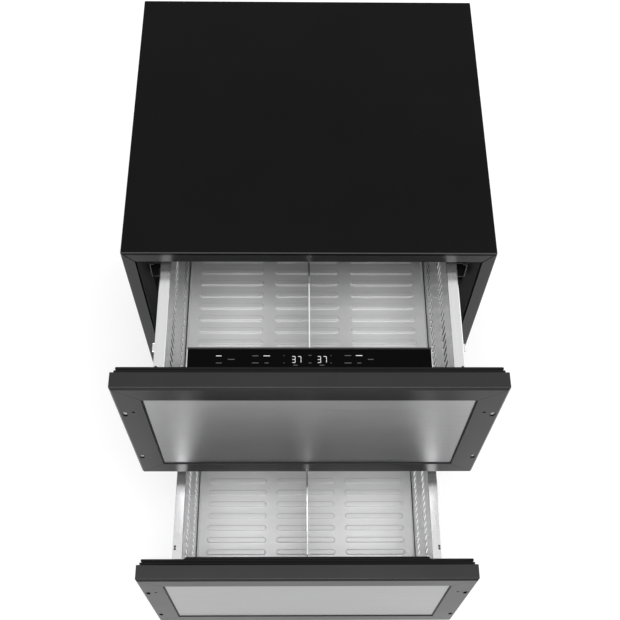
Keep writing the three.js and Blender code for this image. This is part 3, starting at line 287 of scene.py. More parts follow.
def coated(name, color, roughness, specular, grain, depth, spread=0.12, metallic=0.0, coat=0.0,
           edge=1.0):
    """Paint, plastic or rubber with a fine grain; edge is the share it mirrors at a slant."""
    material, tree, shader = surface(name)
    fine = noise(tree, (1, 1, 1), grain, 4.0, 0.6)
    cloud = noise(tree, (1, 1, 1), COAT_CLOUDS)
    tree.links.new(tint(tree, color, cloud, spread), shader.inputs["Base Color"])
    patch = ramp(tree, cloud, *ONE_NOISE, roughness - COAT_SWING, roughness + COAT_SWING)
    tree.links.new(patch, shader.inputs["Roughness"])
    tree.links.new(bump(tree, fine, depth), shader.inputs["Normal"])
    shader.inputs["Specular IOR Level"].default_value = specular
    shader.inputs["Specular Tint"].default_value = (edge, edge, edge, 1)
    shader.inputs["Metallic"].default_value = metallic
    shader.inputs["Coat Weight"].default_value = coat
    shader.inputs["Coat Roughness"].default_value = 0.08
    return material


def spangled(name, color, roughness):
    """Galvanised sheet, with crystals of a few millimetres."""
    material, tree, shader = surface(name)
    place = add(tree, "ShaderNodeTexCoord").outputs["Object"]
    inputs = {"Vector": place, "Scale": SPANGLES, "Randomness": 1.0}
    cells = add(tree, "ShaderNodeTexVoronoi", inputs)
    shade = add(tree, "ShaderNodeSeparateColor", {0: cells.outputs["Color"]}).outputs[0]
    fine = noise(tree, (1, 1, 1), FINE_GRAIN)
    tree.links.new(tint(tree, color, shade, SPANGLE_SPREAD), shader.inputs["Base Color"])
    rough = ramp(tree, shade, 0.0, 1.0, roughness - SPANGLE_SWING, roughness + SPANGLE_SWING)
    tree.links.new(rough, shader.inputs["Roughness"])
    tree.links.new(bump(tree, fine, SPANGLE_DEPTH), shader.inputs["Normal"])
    shader.inputs["Metallic"].default_value = 1.0
    return material


def glowing(name, color, strength):
    """A lit segment behind glass, or a printed mark given a faint painted glow, a little uneven."""
    material, tree, shader = surface(name)
    spots = noise(tree, (1, 1, 1), FINE_GRAIN, 2.0)
    shade = tint(tree, color, spots, GLOW_SPREAD)
    tree.links.new(shade, shader.inputs["Base Color"])
    tree.links.new(shade, shader.inputs["Emission Color"])
    shader.inputs["Emission Strength"].default_value = strength
    shader.inputs["Roughness"].default_value = 0.3
    return material


ALONG_X = (25, 3000, 3000)
ALONG_Y = (3000, 25, 3000)
ALONG_Z = (3000, 3000, 25)

# Maker, name, colour and roughness of each finish. Then, for a coat: specular, grain, its depth,
# spread, metallic, coat and edge; for a metal: grain, its depth, spread, blotch and metallic.
# What glows has its strength in place of the roughness.
FINISHES = [
    (coated, "cabinet_paint", (0.0035, 0.0035, 0.0035), 0.38, 0.05, FINE_GRAIN, 1.2e-5, 0.2),
    # The next finish is the same black paint made lighter and more metallic: painted sheen on the
    # front flange and a painted highlight on the folds into it
    (coated, "flange_paint", (0.035, 0.035, 0.0352), 0.40, 0.25, FINE_GRAIN, 1.2e-5, 0.1, 0.6),
    (spangled, "galvanised_steel", (0.34, 0.345, 0.35), 0.42),
    (coated, "insulation_foam", (0.62, 0.50, 0.24), 0.9, 0.2, 300.0, 3e-4, 0.15),
    (coated, "liner_plastic", (0.007, 0.007, 0.0071), 0.45, 0.16, 1400.0, 1e-5),
    (brushed_metal, "zinc_plate", (0.52, 0.53, 0.54), 0.34, ALONG_Y, 3e-6),
    (coated, "slide_black", (0.010, 0.010, 0.0105), 0.22, 0.4, 1600.0, 5e-6),
    (brushed_metal, "coil_aluminium", (0.60, 0.61, 0.62), 0.3, ALONG_Z, 3e-6),
    (coated, "black_enamel", (0.010, 0.010, 0.0105), 0.22, 0.5, 700.0, 2e-5, 0.12, 0.0, 0.4),
    (coated, "frame_charcoal", (0.040, 0.040, 0.0405), 0.32, 0.5, 1500.0, 4e-6, 0.06, 1.0, 0, 0.8),
    (brushed_metal, "panel_stainless", (0.355, 0.355, 0.36), 0.43, ALONG_X, 2e-7, 0.01, 0.01),
    (coated, "gloss_black", (0.005, 0.005, 0.005), 0.12, 0.25, 300.0, 4e-6),
    (coated, "gasket_rubber", (0.005, 0.005, 0.005), 0.45, 0.10, 2000.0, 1.5e-5),
    (brushed_metal, "bin_stainless", (0.66, 0.66, 0.665), 0.22, ALONG_Y, 2e-7, 0.01, 0.01, 0.9),
    (brushed_metal, "tray_stainless", (0.86, 0.86, 0.865), 0.42, ALONG_X, 2e-7, 0.01, 0.01, 0.3),
    (brushed_metal, "polished_stainless", (0.85, 0.85, 0.855), 0.10, ALONG_Y, 5e-7, 0.02),
    (coated, "console_plastic", (0.020, 0.020, 0.020), 0.35, 0.3, 1500.0, 8e-6),
    (coated, "console_glass", (0.0012, 0.0012, 0.0012), 0.06, 0.03, 40.0, 1e-6, 0.05),
    (glowing, "console_light", (0.60, 0.61, 0.63), 0.45),
    # The printed marks glow faintly: a painted glow, since print gives no light of its own
    (glowing, "console_print", (0.09, 0.09, 0.093), 0.05),
]
FINISH = {name: make(name, *looks) for make, name, *looks in FINISHES}


# ---------------------------------------------------------------- shape helpers

def corners(node):
    low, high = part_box(node)
    return Vector(low), Vector(high)


def rounded(points, radius, steps=4, closed=True):
    """An outline's points with its corners rounded off; radius is one size or one per corner."""
    made = []
    count = len(points)
    for i, here in enumerate(points):
        size = radius[i] if isinstance(radius, (list, tuple)) else radius
        if size == 0 or (not closed and i in (0, count - 1)):
            made.append(tuple(here))
            continue
        corner = Vector(here)
        back = (Vector(points[i - 1]) - corner).normalized()
        ahead = (Vector(points[(i + 1) % count]) - corner).normalized()
        half = back.angle(ahead) / 2
        middle = corner + (back + ahead).normalized() * (size / math.sin(half))
        start = corner + back * (size / math.tan(half)) - middle
        end = corner + ahead * (size / math.tan(half)) - middle
        sweep = start.angle(end)
        for k in range(steps + 1):
            share = k / steps
            turned = start * math.sin((1 - share) * sweep) + end * math.sin(share * sweep)
            made.append(tuple(middle + turned / math.sin(sweep)))
    return made


def rectangle(low, high, inset=0.0, radius=0.0, steps=4):
    """A rectangle's outline, set in by a distance and rounded at its corners."""
    (a0, b0), (a1, b1) = low, high
    points = [(a0 + inset, b0 + inset), (a1 - inset, b0 + inset),
              (a1 - inset, b1 - inset), (a0 + inset, b1 - inset)]
    return rounded(points, radius, steps) if radius else points


def stadium(half, radius, steps=8):
    """A long round-ended outline about the middle, with its length along the first axis."""
    points = []
    for side in (1, -1):
        for k in range(steps + 1):
            angle = math.pi * (k / steps - 0.5 if side > 0 else k / steps + 0.5)
            points.append((side * half + radius * math.cos(angle), radius * math.sin(angle)))
    return points


def circle(radius, sides=24):
    angles = [2 * math.pi * k / sides for k in range(sides)]
    return [(radius * math.cos(angle), radius * math.sin(angle)) for angle in angles]


def loft(bm, rings, loop=True, capped=False):
    """Faces between rings of as many points; loop closes every ring and capped the two ends."""
    rows = [[bm.verts.new(point) for point in ring] for ring in rings]
    for low, high in zip(rows, rows[1:]):
        for i in range(len(low) if loop else len(low) - 1):
            j = (i + 1) % len(low)
            bm.faces.new((low[i], low[j], high[j], high[i]))
    if capped:
        bm.faces.new(rows[0][::-1])
        bm.faces.new(rows[-1])
    return rows


def fill(bm, *loops):
    """Flat faces inside the first loop of vertices and round the others."""
    edges = []
    for loop in loops:
        for a, b in zip(loop, loop[1:] + loop[:1]):
            edges.append(bm.edges.get((a, b)) or bm.edges.new((a, b)))
    bmesh.ops.triangle_fill(bm, use_beauty=True, edges=edges)


def thicken(bm, thickness, outwards):
    """Gives an open sheet its thickness, behind the face that looks along outwards."""
    bmesh.ops.recalc_face_normals(bm, faces=bm.faces)
    outwards = Vector(outwards)
    lead = max(bm.faces, key=lambda face: abs(face.normal.dot(outwards)) * face.calc_area())
    if lead.normal.dot(outwards) < 0:
        bmesh.ops.reverse_faces(bm, faces=bm.faces)
    bmesh.ops.solidify(bm, geom=bm.faces[:], thickness=thickness)


def round_block(bm, low, high, radius):
    """A small block with rounded edges, between two corners."""
    low, high = Vector(low), Vector(high)
    made = bmesh.ops.create_cube(bm, size=1.0)
    for vert in made["verts"]:
        vert.co = Vector([low[i] if vert.co[i] < 0 else high[i] for i in range(3)])
    edges = {edge for vert in made["verts"] for edge in vert.link_edges}
    bmesh.ops.bevel(bm, geom=list(edges), offset=radius, segments=3, profile=0.5, affect="EDGES")


def turned(bm, profile, centre, sides, axis="z"):
    """A profile of (radius, height) turned about an axis through a point, closed at both ends."""
    rings = []
    for radius, height in profile:
        ring = []
        for a, b in circle(radius, sides):
            place = {"z": (a, b, height), "y": (a, height, b)}[axis]
            ring.append(tuple(Vector(place) + Vector(centre)))
        rings.append(ring)
    loft(bm, rings, capped=True)


# ---------------------------------------------------------------- pieces from the frame

FLAT = math.radians(0.5)         # faces that meet at less are one face
SHARP = math.radians(30)         # edges above it are rounded
CREASE = math.radians(40)        # edges below it are shaded smooth


def merged(node):
    """A node's own shape as a bmesh, with its flat triangles joined into whole faces."""
    bm = bmesh.new()
    bm.from_mesh(NODES[node].data)
    bmesh.ops.remove_doubles(bm, verts=bm.verts, dist=1e-6)
    bmesh.ops.dissolve_limit(bm, angle_limit=FLAT, verts=bm.verts, edges=bm.edges)
    return bm


def piece(name, bm, body, slot, *stands_for, finish=None):
    """A new piece that rides on a body, smooth where its faces meet at a shallow angle."""
    bmesh.ops.recalc_face_normals(bm, faces=bm.faces)
    for face in bm.faces:
        face.smooth = True
    for edge in bm.edges:
        edge.smooth = edge.calc_face_angle(0.0) < CREASE
    mesh = bpy.data.meshes.new(name)
    bm.to_mesh(mesh)
    bm.free()
    for name_of_finish in [slot] if finish is None else finish:
        mesh.materials.append(FINISH[name_of_finish])
    made = bpy.data.objects.new(name, mesh)
    bpy.context.scene.collection.objects.link(made)
    even = made.modifiers.new("even_normals", "WEIGHTED_NORMAL")
    even.keep_sharp = True
    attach(made, body)
    if stands_for:
        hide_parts(*stands_for)
    return made


def stand_in(node, bm, finish=None):
    """A piece that takes one node's place, on its body and with its finish."""
    return piece("shaped_" + node, bm, BODY_OF[node], SLOT_OF[node], node, finish=finish)


def soften(bm, width, segments=2, chosen=lambda edge: True):
    """Rounds the chosen edges that are sharp."""
    sharp = [edge for edge in bm.edges
             if edge.is_manifold and edge.calc_face_angle(0.0) > SHARP and chosen(edge)]
    bmesh.ops.bevel(bm, geom=sharp, offset=width, offset_type="OFFSET", segments=segments,
                    profile=0.5, affect="EDGES", clamp_overlap=True)


def eased(node, width, segments=2):
    """The node's shape with its edges rounded by a small radius."""
    bm = merged(node)
    soften(bm, width, segments)
    return stand_in(node, bm)


def dress_frame():
    """Gives every node of the frame its finish."""
    for name, node in NODES.items():
        node.data.materials.clear()
        node.data.materials.append(FINISH[SLOT_OF[name]])


# ---------------------------------------------------------------- bins

def swell(share):
    """A smooth rise from 0 to 1 as share goes from 0 to 1, level at both ends."""
    return (1 - math.cos(math.pi * share)) / 2


def rib_profile():
    """Radius and height of the rings of a rib, from the floor to its crown."""
    outer = RIB_WIDTH / 2
    for k in range(RIB_STEPS + 1):
        share = k / RIB_STEPS
        yield outer + (RIB_CROWN - outer) * share, RIB_HEIGHT * swell(share)


def floor_tray(drawer):
    """Pressed tray: a lip all round and rows of embossed ribs with rounded shoulders."""
    node = f"{drawer}_floor_tray"
    low, high = corners(node)
    floor_z = low.z + TRAY_SHEET
    bm = bmesh.new()
    turn = [(0.0, high.z), (0.0, floor_z), (2 * TRAY_FILLET, floor_z)]
    section = rounded(turn, TRAY_FILLET, closed=False)[:-1]
    edge_low = (low.x + TRAY_SHEET, low.y + TRAY_SHEET)
    edge_high = (high.x - TRAY_SHEET, high.y - TRAY_SHEET)
    rings = [[(x, y, z) for x, y in rectangle(edge_low, edge_high, inset, TRAY_CORNER - inset)]
             for inset, z in section]
    boundary = loft(bm, rings)[-1]
    span = high.x - low.x - 2 * RIB_SIDE
    length = (span - (RIB_COLUMNS - 1) * RIB_GAP) / RIB_COLUMNS
    rows = int((high.y - low.y - 2 * RIB_MARGIN) / RIB_PITCH) + 1
    feet = []
    for row in range(rows):
        y = low.y + RIB_MARGIN + row * RIB_PITCH
        for column in range(RIB_COLUMNS):
            x = (column - (RIB_COLUMNS - 1) / 2) * (length + RIB_GAP)
            half = length / 2 - RIB_WIDTH / 2
            rib = loft(bm, [[(x + a, y + b, floor_z + height) for a, b in stadium(half, radius)]
                            for radius, height in rib_profile()])
            bm.faces.new(rib[-1])
            feet.append(rib[0])
    fill(bm, boundary, *feet)
    thicken(bm, TRAY_SHEET, (0, 0, 1))
    stand_in(node, bm, ["tray_stainless"])


def slots(low, high, x):
    """Outlines of the slots in a bin's side wall."""
    count = int((high.y - SLOT_END - low.y - SLOT_START) / SLOT_PITCH) + 1
    half = SLOT_HEIGHT / 2 - SLOT_WIDTH / 2
    for z in (high.z - SLOT_DROP, low.z + SLOT_LIFT):
        for i in range(count):
            y = low.y + SLOT_START + i * SLOT_PITCH
            yield [(x, y + b, z + a) for a, b in stadium(half, SLOT_WIDTH / 2, steps=5)]


def bin_wall(drawer, side, word):
    """Folded side wall: a lip under the tray, two rows of slots and a rim over the slide."""
    node = f"{drawer}_bin_{word}_wall"
    low, high = corners(node)
    inside = min(abs(low.x), abs(high.x)) + WALL_LIP
    edge = inside + RIM_WIDTH
    lip_start = low.y + LIP_SETBACK
    fold_top = low.z + SHEET + FOLD_RADIUS
    bm = bmesh.new()

    lip = [(inside - WALL_LIP, low.z + SHEET), (inside, low.z + SHEET),
           (inside, fold_top + FOLD_RADIUS)]
    lip = rounded(lip, FOLD_RADIUS, closed=False)[:-1]
    strips = [[(side * x, y, z) for y in (lip_start, high.y)] for x, z in lip]
    fold = loft(bm, strips, loop=False)[-1]
    rim = [(inside, low.z), (inside, high.z), (edge, high.z), (edge, high.z - RIM_HEM)]
    rim = rounded(rim, FOLD_RADIUS, closed=False)[1:]
    rows = [[bm.verts.new((side * x, y, z)) for y in (low.y, high.y)] for x, z in rim]
    flat = max(range(len(rim) - 1), key=lambda i: rim[i + 1][0] - rim[i][0])
    screws = [[bm.verts.new((side * (inside + SCREW_ACROSS + a),
                             low.y + SCREW_SETBACK[drawer] + step + b, high.z))
               for a, b in circle(SCREW_RADIUS, sides=16)] for step in (0, SCREW_PITCH)]
    for i, (here, ahead) in enumerate(zip(rows, rows[1:])):
        if i == flat:
            fill(bm, [here[0], ahead[0], ahead[1], here[1]], *screws)
        else:
            bm.faces.new((here[0], ahead[0], ahead[1], here[1]))
    foot = [bm.verts.new((side * inside, y, low.z)) for y in (low.y, lip_start)]
    openings = [[bm.verts.new(point) for point in slot] for slot in slots(low, high, side * inside)]
    fill(bm, [rows[0][0], foot[0], foot[1], fold[0], fold[1], rows[0][1]], *openings)
    thicken(bm, SHEET, (-side, 0, 0))
    if drawer == "upper":
        start = (side * (edge - SHEET / 2), low.y + TAB_SETBACK, high.z - RIM_HEM)
        end = (start[0] + side * TAB_SIZE[0], start[1] + TAB_SIZE[1], start[2] + TAB_SIZE[2])
        round_block(bm, start, end, TAB_EASE)
    stand_in(node, bm)


def rim_screws(drawer):
    """Black button-head screws in the rims."""
    bm = bmesh.new()
    for word, side in SIDES:
        low, high = corners(f"{drawer}_bin_{word}_wall")
        x = side * (min(abs(low.x), abs(high.x)) + WALL_LIP + SCREW_ACROSS)
        for step in (0, SCREW_PITCH):
            place = (x, low.y + SCREW_SETBACK[drawer] + step, high.z)
            turned(bm, RIM_SCREW_PROFILE, place, sides=20)
    piece(f"{drawer}_rim_screws", bm, f"{drawer}_drawer", "black_enamel")


def bin_rear(drawer):
    """Rear sheet of a bin, hemmed forwards along its top."""
    node = f"{drawer}_bin_rear_wall"
    low, high = corners(node)
    section = [(high.y, low.z), (high.y, high.z), (low.y, high.z), (low.y, high.z - RIM_HEM)]
    section = rounded(section, FOLD_RADIUS, closed=False)
    bm = bmesh.new()
    loft(bm, [[(x, y, z) for x in (low.x, high.x)] for y, z in section], loop=False)
    thicken(bm, SHEET, (0, 1, 0))
    stand_in(node, bm)


# ---------------------------------------------------------------- drawer fronts

def front_box(drawer):
    """The opposite corners of a front, one on each of its stiles."""
    low, _ = corners(f"{drawer}_front_left_stile")
    _, high = corners(f"{drawer}_front_right_stile")
    return low, high


def on_front(drawer, word):
    """How a bar's (inset, depth, place along it) turns to (x, y, z), its half length, its depth."""
    low, high = front_box(drawer)
    middle = (low + high) / 2
    turns = {
        "top_rail": lambda inset, deep, along: (middle.x + along, low.y + deep, high.z - inset),
        "bottom_rail": lambda inset, deep, along: (middle.x + along, low.y + deep, low.z + inset),
        "left_stile": lambda inset, deep, along: (low.x + inset, low.y + deep, middle.z + along),
        "right_stile": lambda inset, deep, along: (high.x - inset, low.y + deep, middle.z + along),
    }
    size = high - low
    return turns[word], (size.z if word.endswith("stile") else size.x) / 2, size.y


def frame_bar(drawer, word):
    """A mitred bar of a front's frame, with a rounded nose and, in the stiles, its screw holes."""
    place, half, depth = on_front(drawer, word)
    inner = FRAME_WIDTH - FRAME_REBATE
    section = [(FRAME_NOSE, 0), (FRAME_WIDTH, 0), (FRAME_WIDTH, FRAME_LIP), (inner, FRAME_LIP),
               (inner, depth), (0, depth), (0, FRAME_NOSE)]
    radii = [FRAME_EASE, LIP_EASE, LIP_EASE / 2, 0, 0, FRAME_EASE, FRAME_EASE]
    section = rounded(section, radii, steps=5)
    count = len(section)
    widths = [ahead[0] - here[0] for here, ahead in zip(section, section[1:])]
    front = widths.index(max(widths))
    back = widths.index(min(w for w, point in zip(widths, section) if point[1] == depth))
    bm = bmesh.new()
    rows = [[bm.verts.new(place(inset, deep, end * (half - inset - FRAME_GAP)))
             for inset, deep in section] for end in (-1, 1)]
    drilled = word.endswith("stile")
    for i in range(count):
        j = (i + 1) % count
        if not (drilled and i in (front, back)):
            bm.faces.new((rows[0][i], rows[0][j], rows[1][j], rows[1][i]))
    bm.faces.new(rows[0])
    bm.faces.new(rows[1])
    if drilled:
        steps = [(HOLE_EASE, 0), (0, HOLE_EASE), (0, depth - HOLE_EASE), (HOLE_EASE, depth)]
        through = [drill(bm, place, half, HOLE_RADIUS, HOLE_INSET, drop, steps, HOLE_TALL)
                   for drop in HOLE_DROPS]
        steps = [(HOLE_EASE, 0), (0, HOLE_EASE), (0, PIN_DEPTH)]
        pin = drill(bm, place, half, PIN_RADIUS, PIN_INSET, PIN_DROP, steps)
        bm.faces.new(pin[-1])
        for i, holes in ((front, [hole[0] for hole in through + [pin]]),
                         (back, [hole[-1] for hole in through])):
            fill(bm, [rows[0][i], rows[0][i + 1], rows[1][i + 1], rows[1][i]], *holes)
    stand_in(f"{drawer}_front_{word}", bm)


def drill(bm, place, half, radius, inset, drop, steps, tall=0.0):
    """The rings of a hole, drawn out up and down by tall; steps are (added radius, depth)."""
    return loft(bm, [[place(inset + a, deep, half - drop + b + (tall if b > 0 else -tall))
                      for a, b in circle(radius + more)] for more, deep in steps])


def hole_sleeves(drawer):
    """Metal sleeves pressed into the screw slots of the stiles; their brightest steel is a painted
    highlight, standing for the light seen through the slots.
    """
    outer, inner = -SLEEVE_GAP, -SLEEVE_GAP - SLEEVE_SHEET
    bm = bmesh.new()
    for word, _ in SIDES:
        place, half, depth = on_front(drawer, word + "_stile")
        steps = [(outer, depth / 2), (outer, SLEEVE_SETBACK), (inner, SLEEVE_SETBACK),
                 (inner, depth / 2), (outer, depth / 2)]
        for drop in HOLE_DROPS:
            drill(bm, place, half, HOLE_RADIUS, HOLE_INSET, drop, steps, HOLE_TALL)
    bmesh.ops.remove_doubles(bm, verts=bm.verts, dist=1e-7)
    # The brightest steel replaces the zinc plate here: a painted highlight for the light seen
    # through the slots
    piece(f"{drawer}_hole_sleeves", bm, f"{drawer}_drawer", "zinc_plate", finish=["tray_stainless"])


def framed(bm, section, low, high, y):
    """A closed section of (inset, depth) carried round a rectangle, mitred at its corners."""
    rows = []
    for side_x, side_z in ((-1, -1), (1, -1), (1, 1), (-1, 1)):
        row = []
        for inset, depth in section:
            x = low.x + inset if side_x < 0 else high.x - inset
            z = low.z + inset if side_z < 0 else high.z - inset
            row.append(bm.verts.new((x, y + depth, z)))
        rows.append(row)
    for here, ahead in zip(rows, rows[1:] + rows[:1]):
        for i in range(len(section)):
            j = (i + 1) % len(section)
            bm.faces.new((here[i], ahead[i], ahead[j], here[j]))


def gasket(drawer):
    """Soft magnetic seal: a foot, a groove and a rounded bellows."""
    node = f"{drawer}_gasket"
    low, high = corners(node)
    depth = high.y - low.y
    section = [(inset * MM, depth if deep is None else deep * MM)
               for inset, deep, _ in GASKET_SECTION]
    radii = [radius * MM for _, _, radius in GASKET_SECTION]
    bm = bmesh.new()
    framed(bm, rounded(section, radii), low, high, low.y)
    stand_in(node, bm)


def panel_seal(drawer):
    """Thin black seal between the frame's lip and the panel."""
    low, high = front_box(drawer)
    inner, outer = FRAME_WIDTH - LIP_EASE, FRAME_WIDTH + SEAL_WIDTH
    face, back = SEAL_DEPTH
    section = [(inner, back), (inner, FRAME_LIP + SEAL_TUCK), (FRAME_WIDTH + SEAL_INSET, face),
               (outer, face), (outer, back)]
    bm = bmesh.new()
    framed(bm, rounded(section, [0, 0, 0, SEAL_EASE, 0], steps=3), low, high, low.y)
    piece(f"{drawer}_panel_seal", bm, f"{drawer}_drawer", "gasket_rubber")


def front_liner(drawer):
    """Moulded inner face, with soft edges round its plinth."""
    node = f"{drawer}_front_liner"
    behind = front_box(drawer)[0].y + PLATE_DEPTH
    bm = merged(node)
    soften(bm, PLINTH_EASE, segments=5,
           chosen=lambda edge: max(vert.co.y for vert in edge.verts) > behind)
    stand_in(node, bm)


# ---------------------------------------------------------------- console

SEGMENTS = {"3": "abgcd", "7": "abc"}


def plate(bm, x, y, width, depth, z):
    """A thin printed bar with rounded ends, centred on a point of the glass."""
    radius = min(width, depth) / MARK_ROUNDING
    low, high = (x - width / 2, y - depth / 2), (x + width / 2, y + depth / 2)
    ring = rectangle(low, high, radius=radius, steps=3)
    rises = (MARK_LIFT, MARK_LIFT + MARK_SHEET)
    loft(bm, [[(a, b, z + rise) for a, b in ring] for rise in rises], capped=True)


def digit(bm, character, x, y, z):
    """A seven-segment digit, read from the front, centred on a point of the glass."""
    side, up = DIGIT_WIDTH / 2, DIGIT_HEIGHT / 2
    places = {"a": (0, up), "g": (0, 0), "d": (0, -up), "b": (side, up / 2), "c": (side, -up / 2)}
    level = (DIGIT_WIDTH - DIGIT_STROKE, DIGIT_STROKE)
    upright = (DIGIT_STROKE, up - STROKE_GAP)
    for segment in SEGMENTS[character]:
        dx, dy = places[segment]
        plate(bm, x + dx, y + dy, *(level if dx == 0 else upright), z)


# Bars on the glass: middle, width and distance behind the glass's front edge, in millimetres
BRIGHT_BARS = [(-141.3, 8.8, 41.4), (-66.8, 10.2, 41.5), (77.2, 10.4, 42.1)]
DIM_BARS = [(-121.9, 10.5, 35.5), (-141.0, 9.3, 29.3), (-84.6, 9.5, 41.5), (-84.3, 10.7, 29.4),
            (-66.7, 6.5, 29.4), (59.6, 10.4, 42.1), (59.6, 10.9, 29.4), (77.1, 6.2, 29.4),
            (95.0, 8.9, 35.6), (-39.9, 1.6, 42.0), (-39.9, 1.6, 29.4), (33.2, 1.6, 42.0),
            (33.2, 1.6, 29.4), (0.5, 4.4, 42.4), (0.5, 4.4, 29.4), (-22.0, 6.8, 25.5),
            (19.0, 7.4, 25.6)]
# Middles of the two pairs of digits, placed in the same way
DIGIT_PLACES = [(-20.5, 35.3), (19.2, 35.3)]


def console():
    """Control console: softened housing, black glass, plain lit marks and a trim at both ends."""
    eased("console_body", CONSOLE_EASE, segments=3)
    eased("console_glass", GLASS_EASE)
    low, high = corners("console_glass")
    lit, dim = bmesh.new(), bmesh.new()
    for bars, bm in ((BRIGHT_BARS, lit), (DIM_BARS, dim)):
        for x, width, behind in bars:
            plate(bm, x * MM, low.y + behind * MM, width * MM, MARK_BAR, high.z)
    for x, behind in DIGIT_PLACES:
        for side, character in ((-1, "3"), (1, "7")):
            digit(lit, character, x * MM + side * DIGIT_PITCH / 2, low.y + behind * MM, high.z)
    piece("console_lit_marks", lit, "upper_drawer", None, finish=["console_light"])
    piece("console_dim_marks", dim, "upper_drawer", None, finish=["console_print"])
    trim = bmesh.new()
    for x in (low.x, high.x):
        inner = x - math.copysign(GLASS_TRIM, x)
        round_block(trim, (min(x, inner), low.y, high.z - GLASS_TRIM),
                    (max(x, inner), high.y, high.z + MARK_SHEET), TRIM_EASE)
    piece("console_trim", trim, "upper_drawer", "polished_stainless")


# ---------------------------------------------------------------- cabinet

def cabinet():
    """Wrapped steel case with rounded folds, its flange and its two rails."""
    low, high = corners("cabinet_wrapper")
    bend = CABINET_BEND
    angles = [math.pi / 2 * k / BEND_STEPS for k in range(BEND_STEPS + 1)]
    quarter = [(bend * (1 - math.cos(a)), bend * (1 - math.sin(a))) for a in angles]
    stations = [(0.0, high.y - low.y), (0.0, TOE_DEPTH)] + quarter
    bm = bmesh.new()
    rows = []
    for inset, depth in stations:
        radius = max(CABINET_CORNER - inset, LEAST_CORNER)
        path = [(low.x + inset, TOE_HEIGHT), (low.x + inset, high.z - inset),
                (high.x - inset, high.z - inset), (high.x - inset, TOE_HEIGHT)]
        path = rounded(path, radius, steps=5, closed=False)
        if depth >= TOE_DEPTH:
            path = [(low.x, low.z)] + path + [(high.x, low.z)]
        rows.append([bm.verts.new((x, low.y + depth, z)) for x, z in path])
    for here, ahead in zip(rows, rows[1:]):
        if len(here) > len(ahead):
            here = here[1:-1]
        for a, b, c, d in zip(here, here[1:], ahead[1:], ahead):
            bm.faces.new((a, b, c, d))
    flange(bm, low, high)
    thicken(bm, SHEET, (0, 0, 1))
    reach = high.x - FLANGE_SIDE + SHEET / 2
    for bottom, top, depth in CROSS_RAILS:
        rail = bmesh.new()
        section = [(low.y + depth, bottom), (low.y, bottom), (low.y, top), (low.y + depth, top)]
        section = rounded(section, RAIL_SHEET, closed=False)
        loft(rail, [[(x, y, z) for x in (-reach, reach)] for y, z in section], loop=False)
        thicken(rail, RAIL_SHEET, (0, -1, 0))
        add_to(bm, rail)
    # The faces in the front plane and the folds round it get a lighter, more metallic copy of the
    # black paint: painted sheen on the flange and a painted highlight along the folds
    for face in bm.faces:
        middle = face.calc_center_median()
        inset = min(high.z - middle.z, high.x - abs(middle.x))
        depth = middle.y - low.y
        face.material_index = int(depth < FLUSH or (depth < bend and inset < bend))
    stand_in("cabinet_wrapper", bm, ["cabinet_paint", "flange_paint"])


def flange(bm, low, high):
    """Front flange: three strips, parted by the mitres' slits, and the groove over the top one."""
    mouth_x, mouth_z = high.x - FLANGE_SIDE, high.z - FLANGE_TOP
    outer_x, outer_z = high.x - CABINET_BEND, high.z - CABINET_BEND
    slope = Vector((outer_x - mouth_x, outer_z - mouth_z)).normalized()
    drop, shift = MITRE_SLIT / 2 / slope.x, MITRE_SLIT / 2 / slope.y
    for side in (-1, 1):
        flange_strip(bm, low.y, [
            (side * outer_x, TOE_HEIGHT), (side * outer_x, outer_z - drop),
            (side * mouth_x, mouth_z - drop), (side * mouth_x, TOE_HEIGHT)])
    reach = outer_x - shift
    edge = outer_z - TOP_GROOVE
    recess = [(-reach, outer_z), (reach, outer_z), (reach, edge - SHEET), (-reach, edge - SHEET)]
    bm.faces.new([bm.verts.new((x, low.y + TOP_RECESS, z)) for x, z in recess])
    reach -= TOP_GROOVE * slope.x / slope.y
    flange_strip(bm, low.y, [
        (-reach, edge), (reach, edge), (mouth_x - shift, mouth_z), (shift - mouth_x, mouth_z)])


def flange_strip(bm, front, outline):
    """A flat strip of the flange and its return, behind the edge between its last two corners."""
    strip = [bm.verts.new((x, front, z)) for x, z in outline]
    bm.faces.new(strip)
    fold = [bm.verts.new((x, front + FLANGE_RETURN, z)) for x, z in outline[2:]]
    bm.faces.new((strip[2], strip[3], fold[1], fold[0]))


def add_to(bm, other):
    """Adds another bmesh's shape and frees it."""
    mesh = bpy.data.meshes.new("joined")
    other.to_mesh(mesh)
    other.free()
    bm.from_mesh(mesh)
    bpy.data.meshes.remove(mesh)


def foot(node):
    """Levelling foot: threaded stem, hexagonal nut and a rubber pad."""
    low, high = corners(node)
    middle = (low + high) / 2
    centre = (middle.x, middle.y, 0)
    bm = bmesh.new()
    start = low.z + FOOT_PAD * PAD_OVERLAP
    root = FOOT_STEM - THREAD_DEPTH
    profile = []
    for i in range(int((high.z - start) / THREAD_PITCH)):
        z = start + i * THREAD_PITCH
        profile += [(root, z)] + [(FOOT_STEM, z + THREAD_PITCH * share) for share in THREAD_CREST]
    turned(bm, profile + [(root, high.z)], centre, sides=24)
    nut = bmesh.new()
    ends = [(NUT_RADIUS, low.z + height) for height in (FOOT_PAD, NUT_TOP)]
    turned(nut, ends, centre, sides=6)
    soften(nut, NUT_EASE)
    add_to(bm, nut)
    stand_in(node, bm)
    pad = bmesh.new()
    radius = (high.x - low.x) / 2
    top = low.z + FOOT_PAD
    edge = [(ON_AXIS, low.z), (radius, low.z), (radius, top), (ON_AXIS, top)]
    turned(pad, rounded(edge, PAD_EASE, closed=False), centre, sides=40)
    piece("pad_of_" + node, pad, "cabinet", "gasket_rubber")


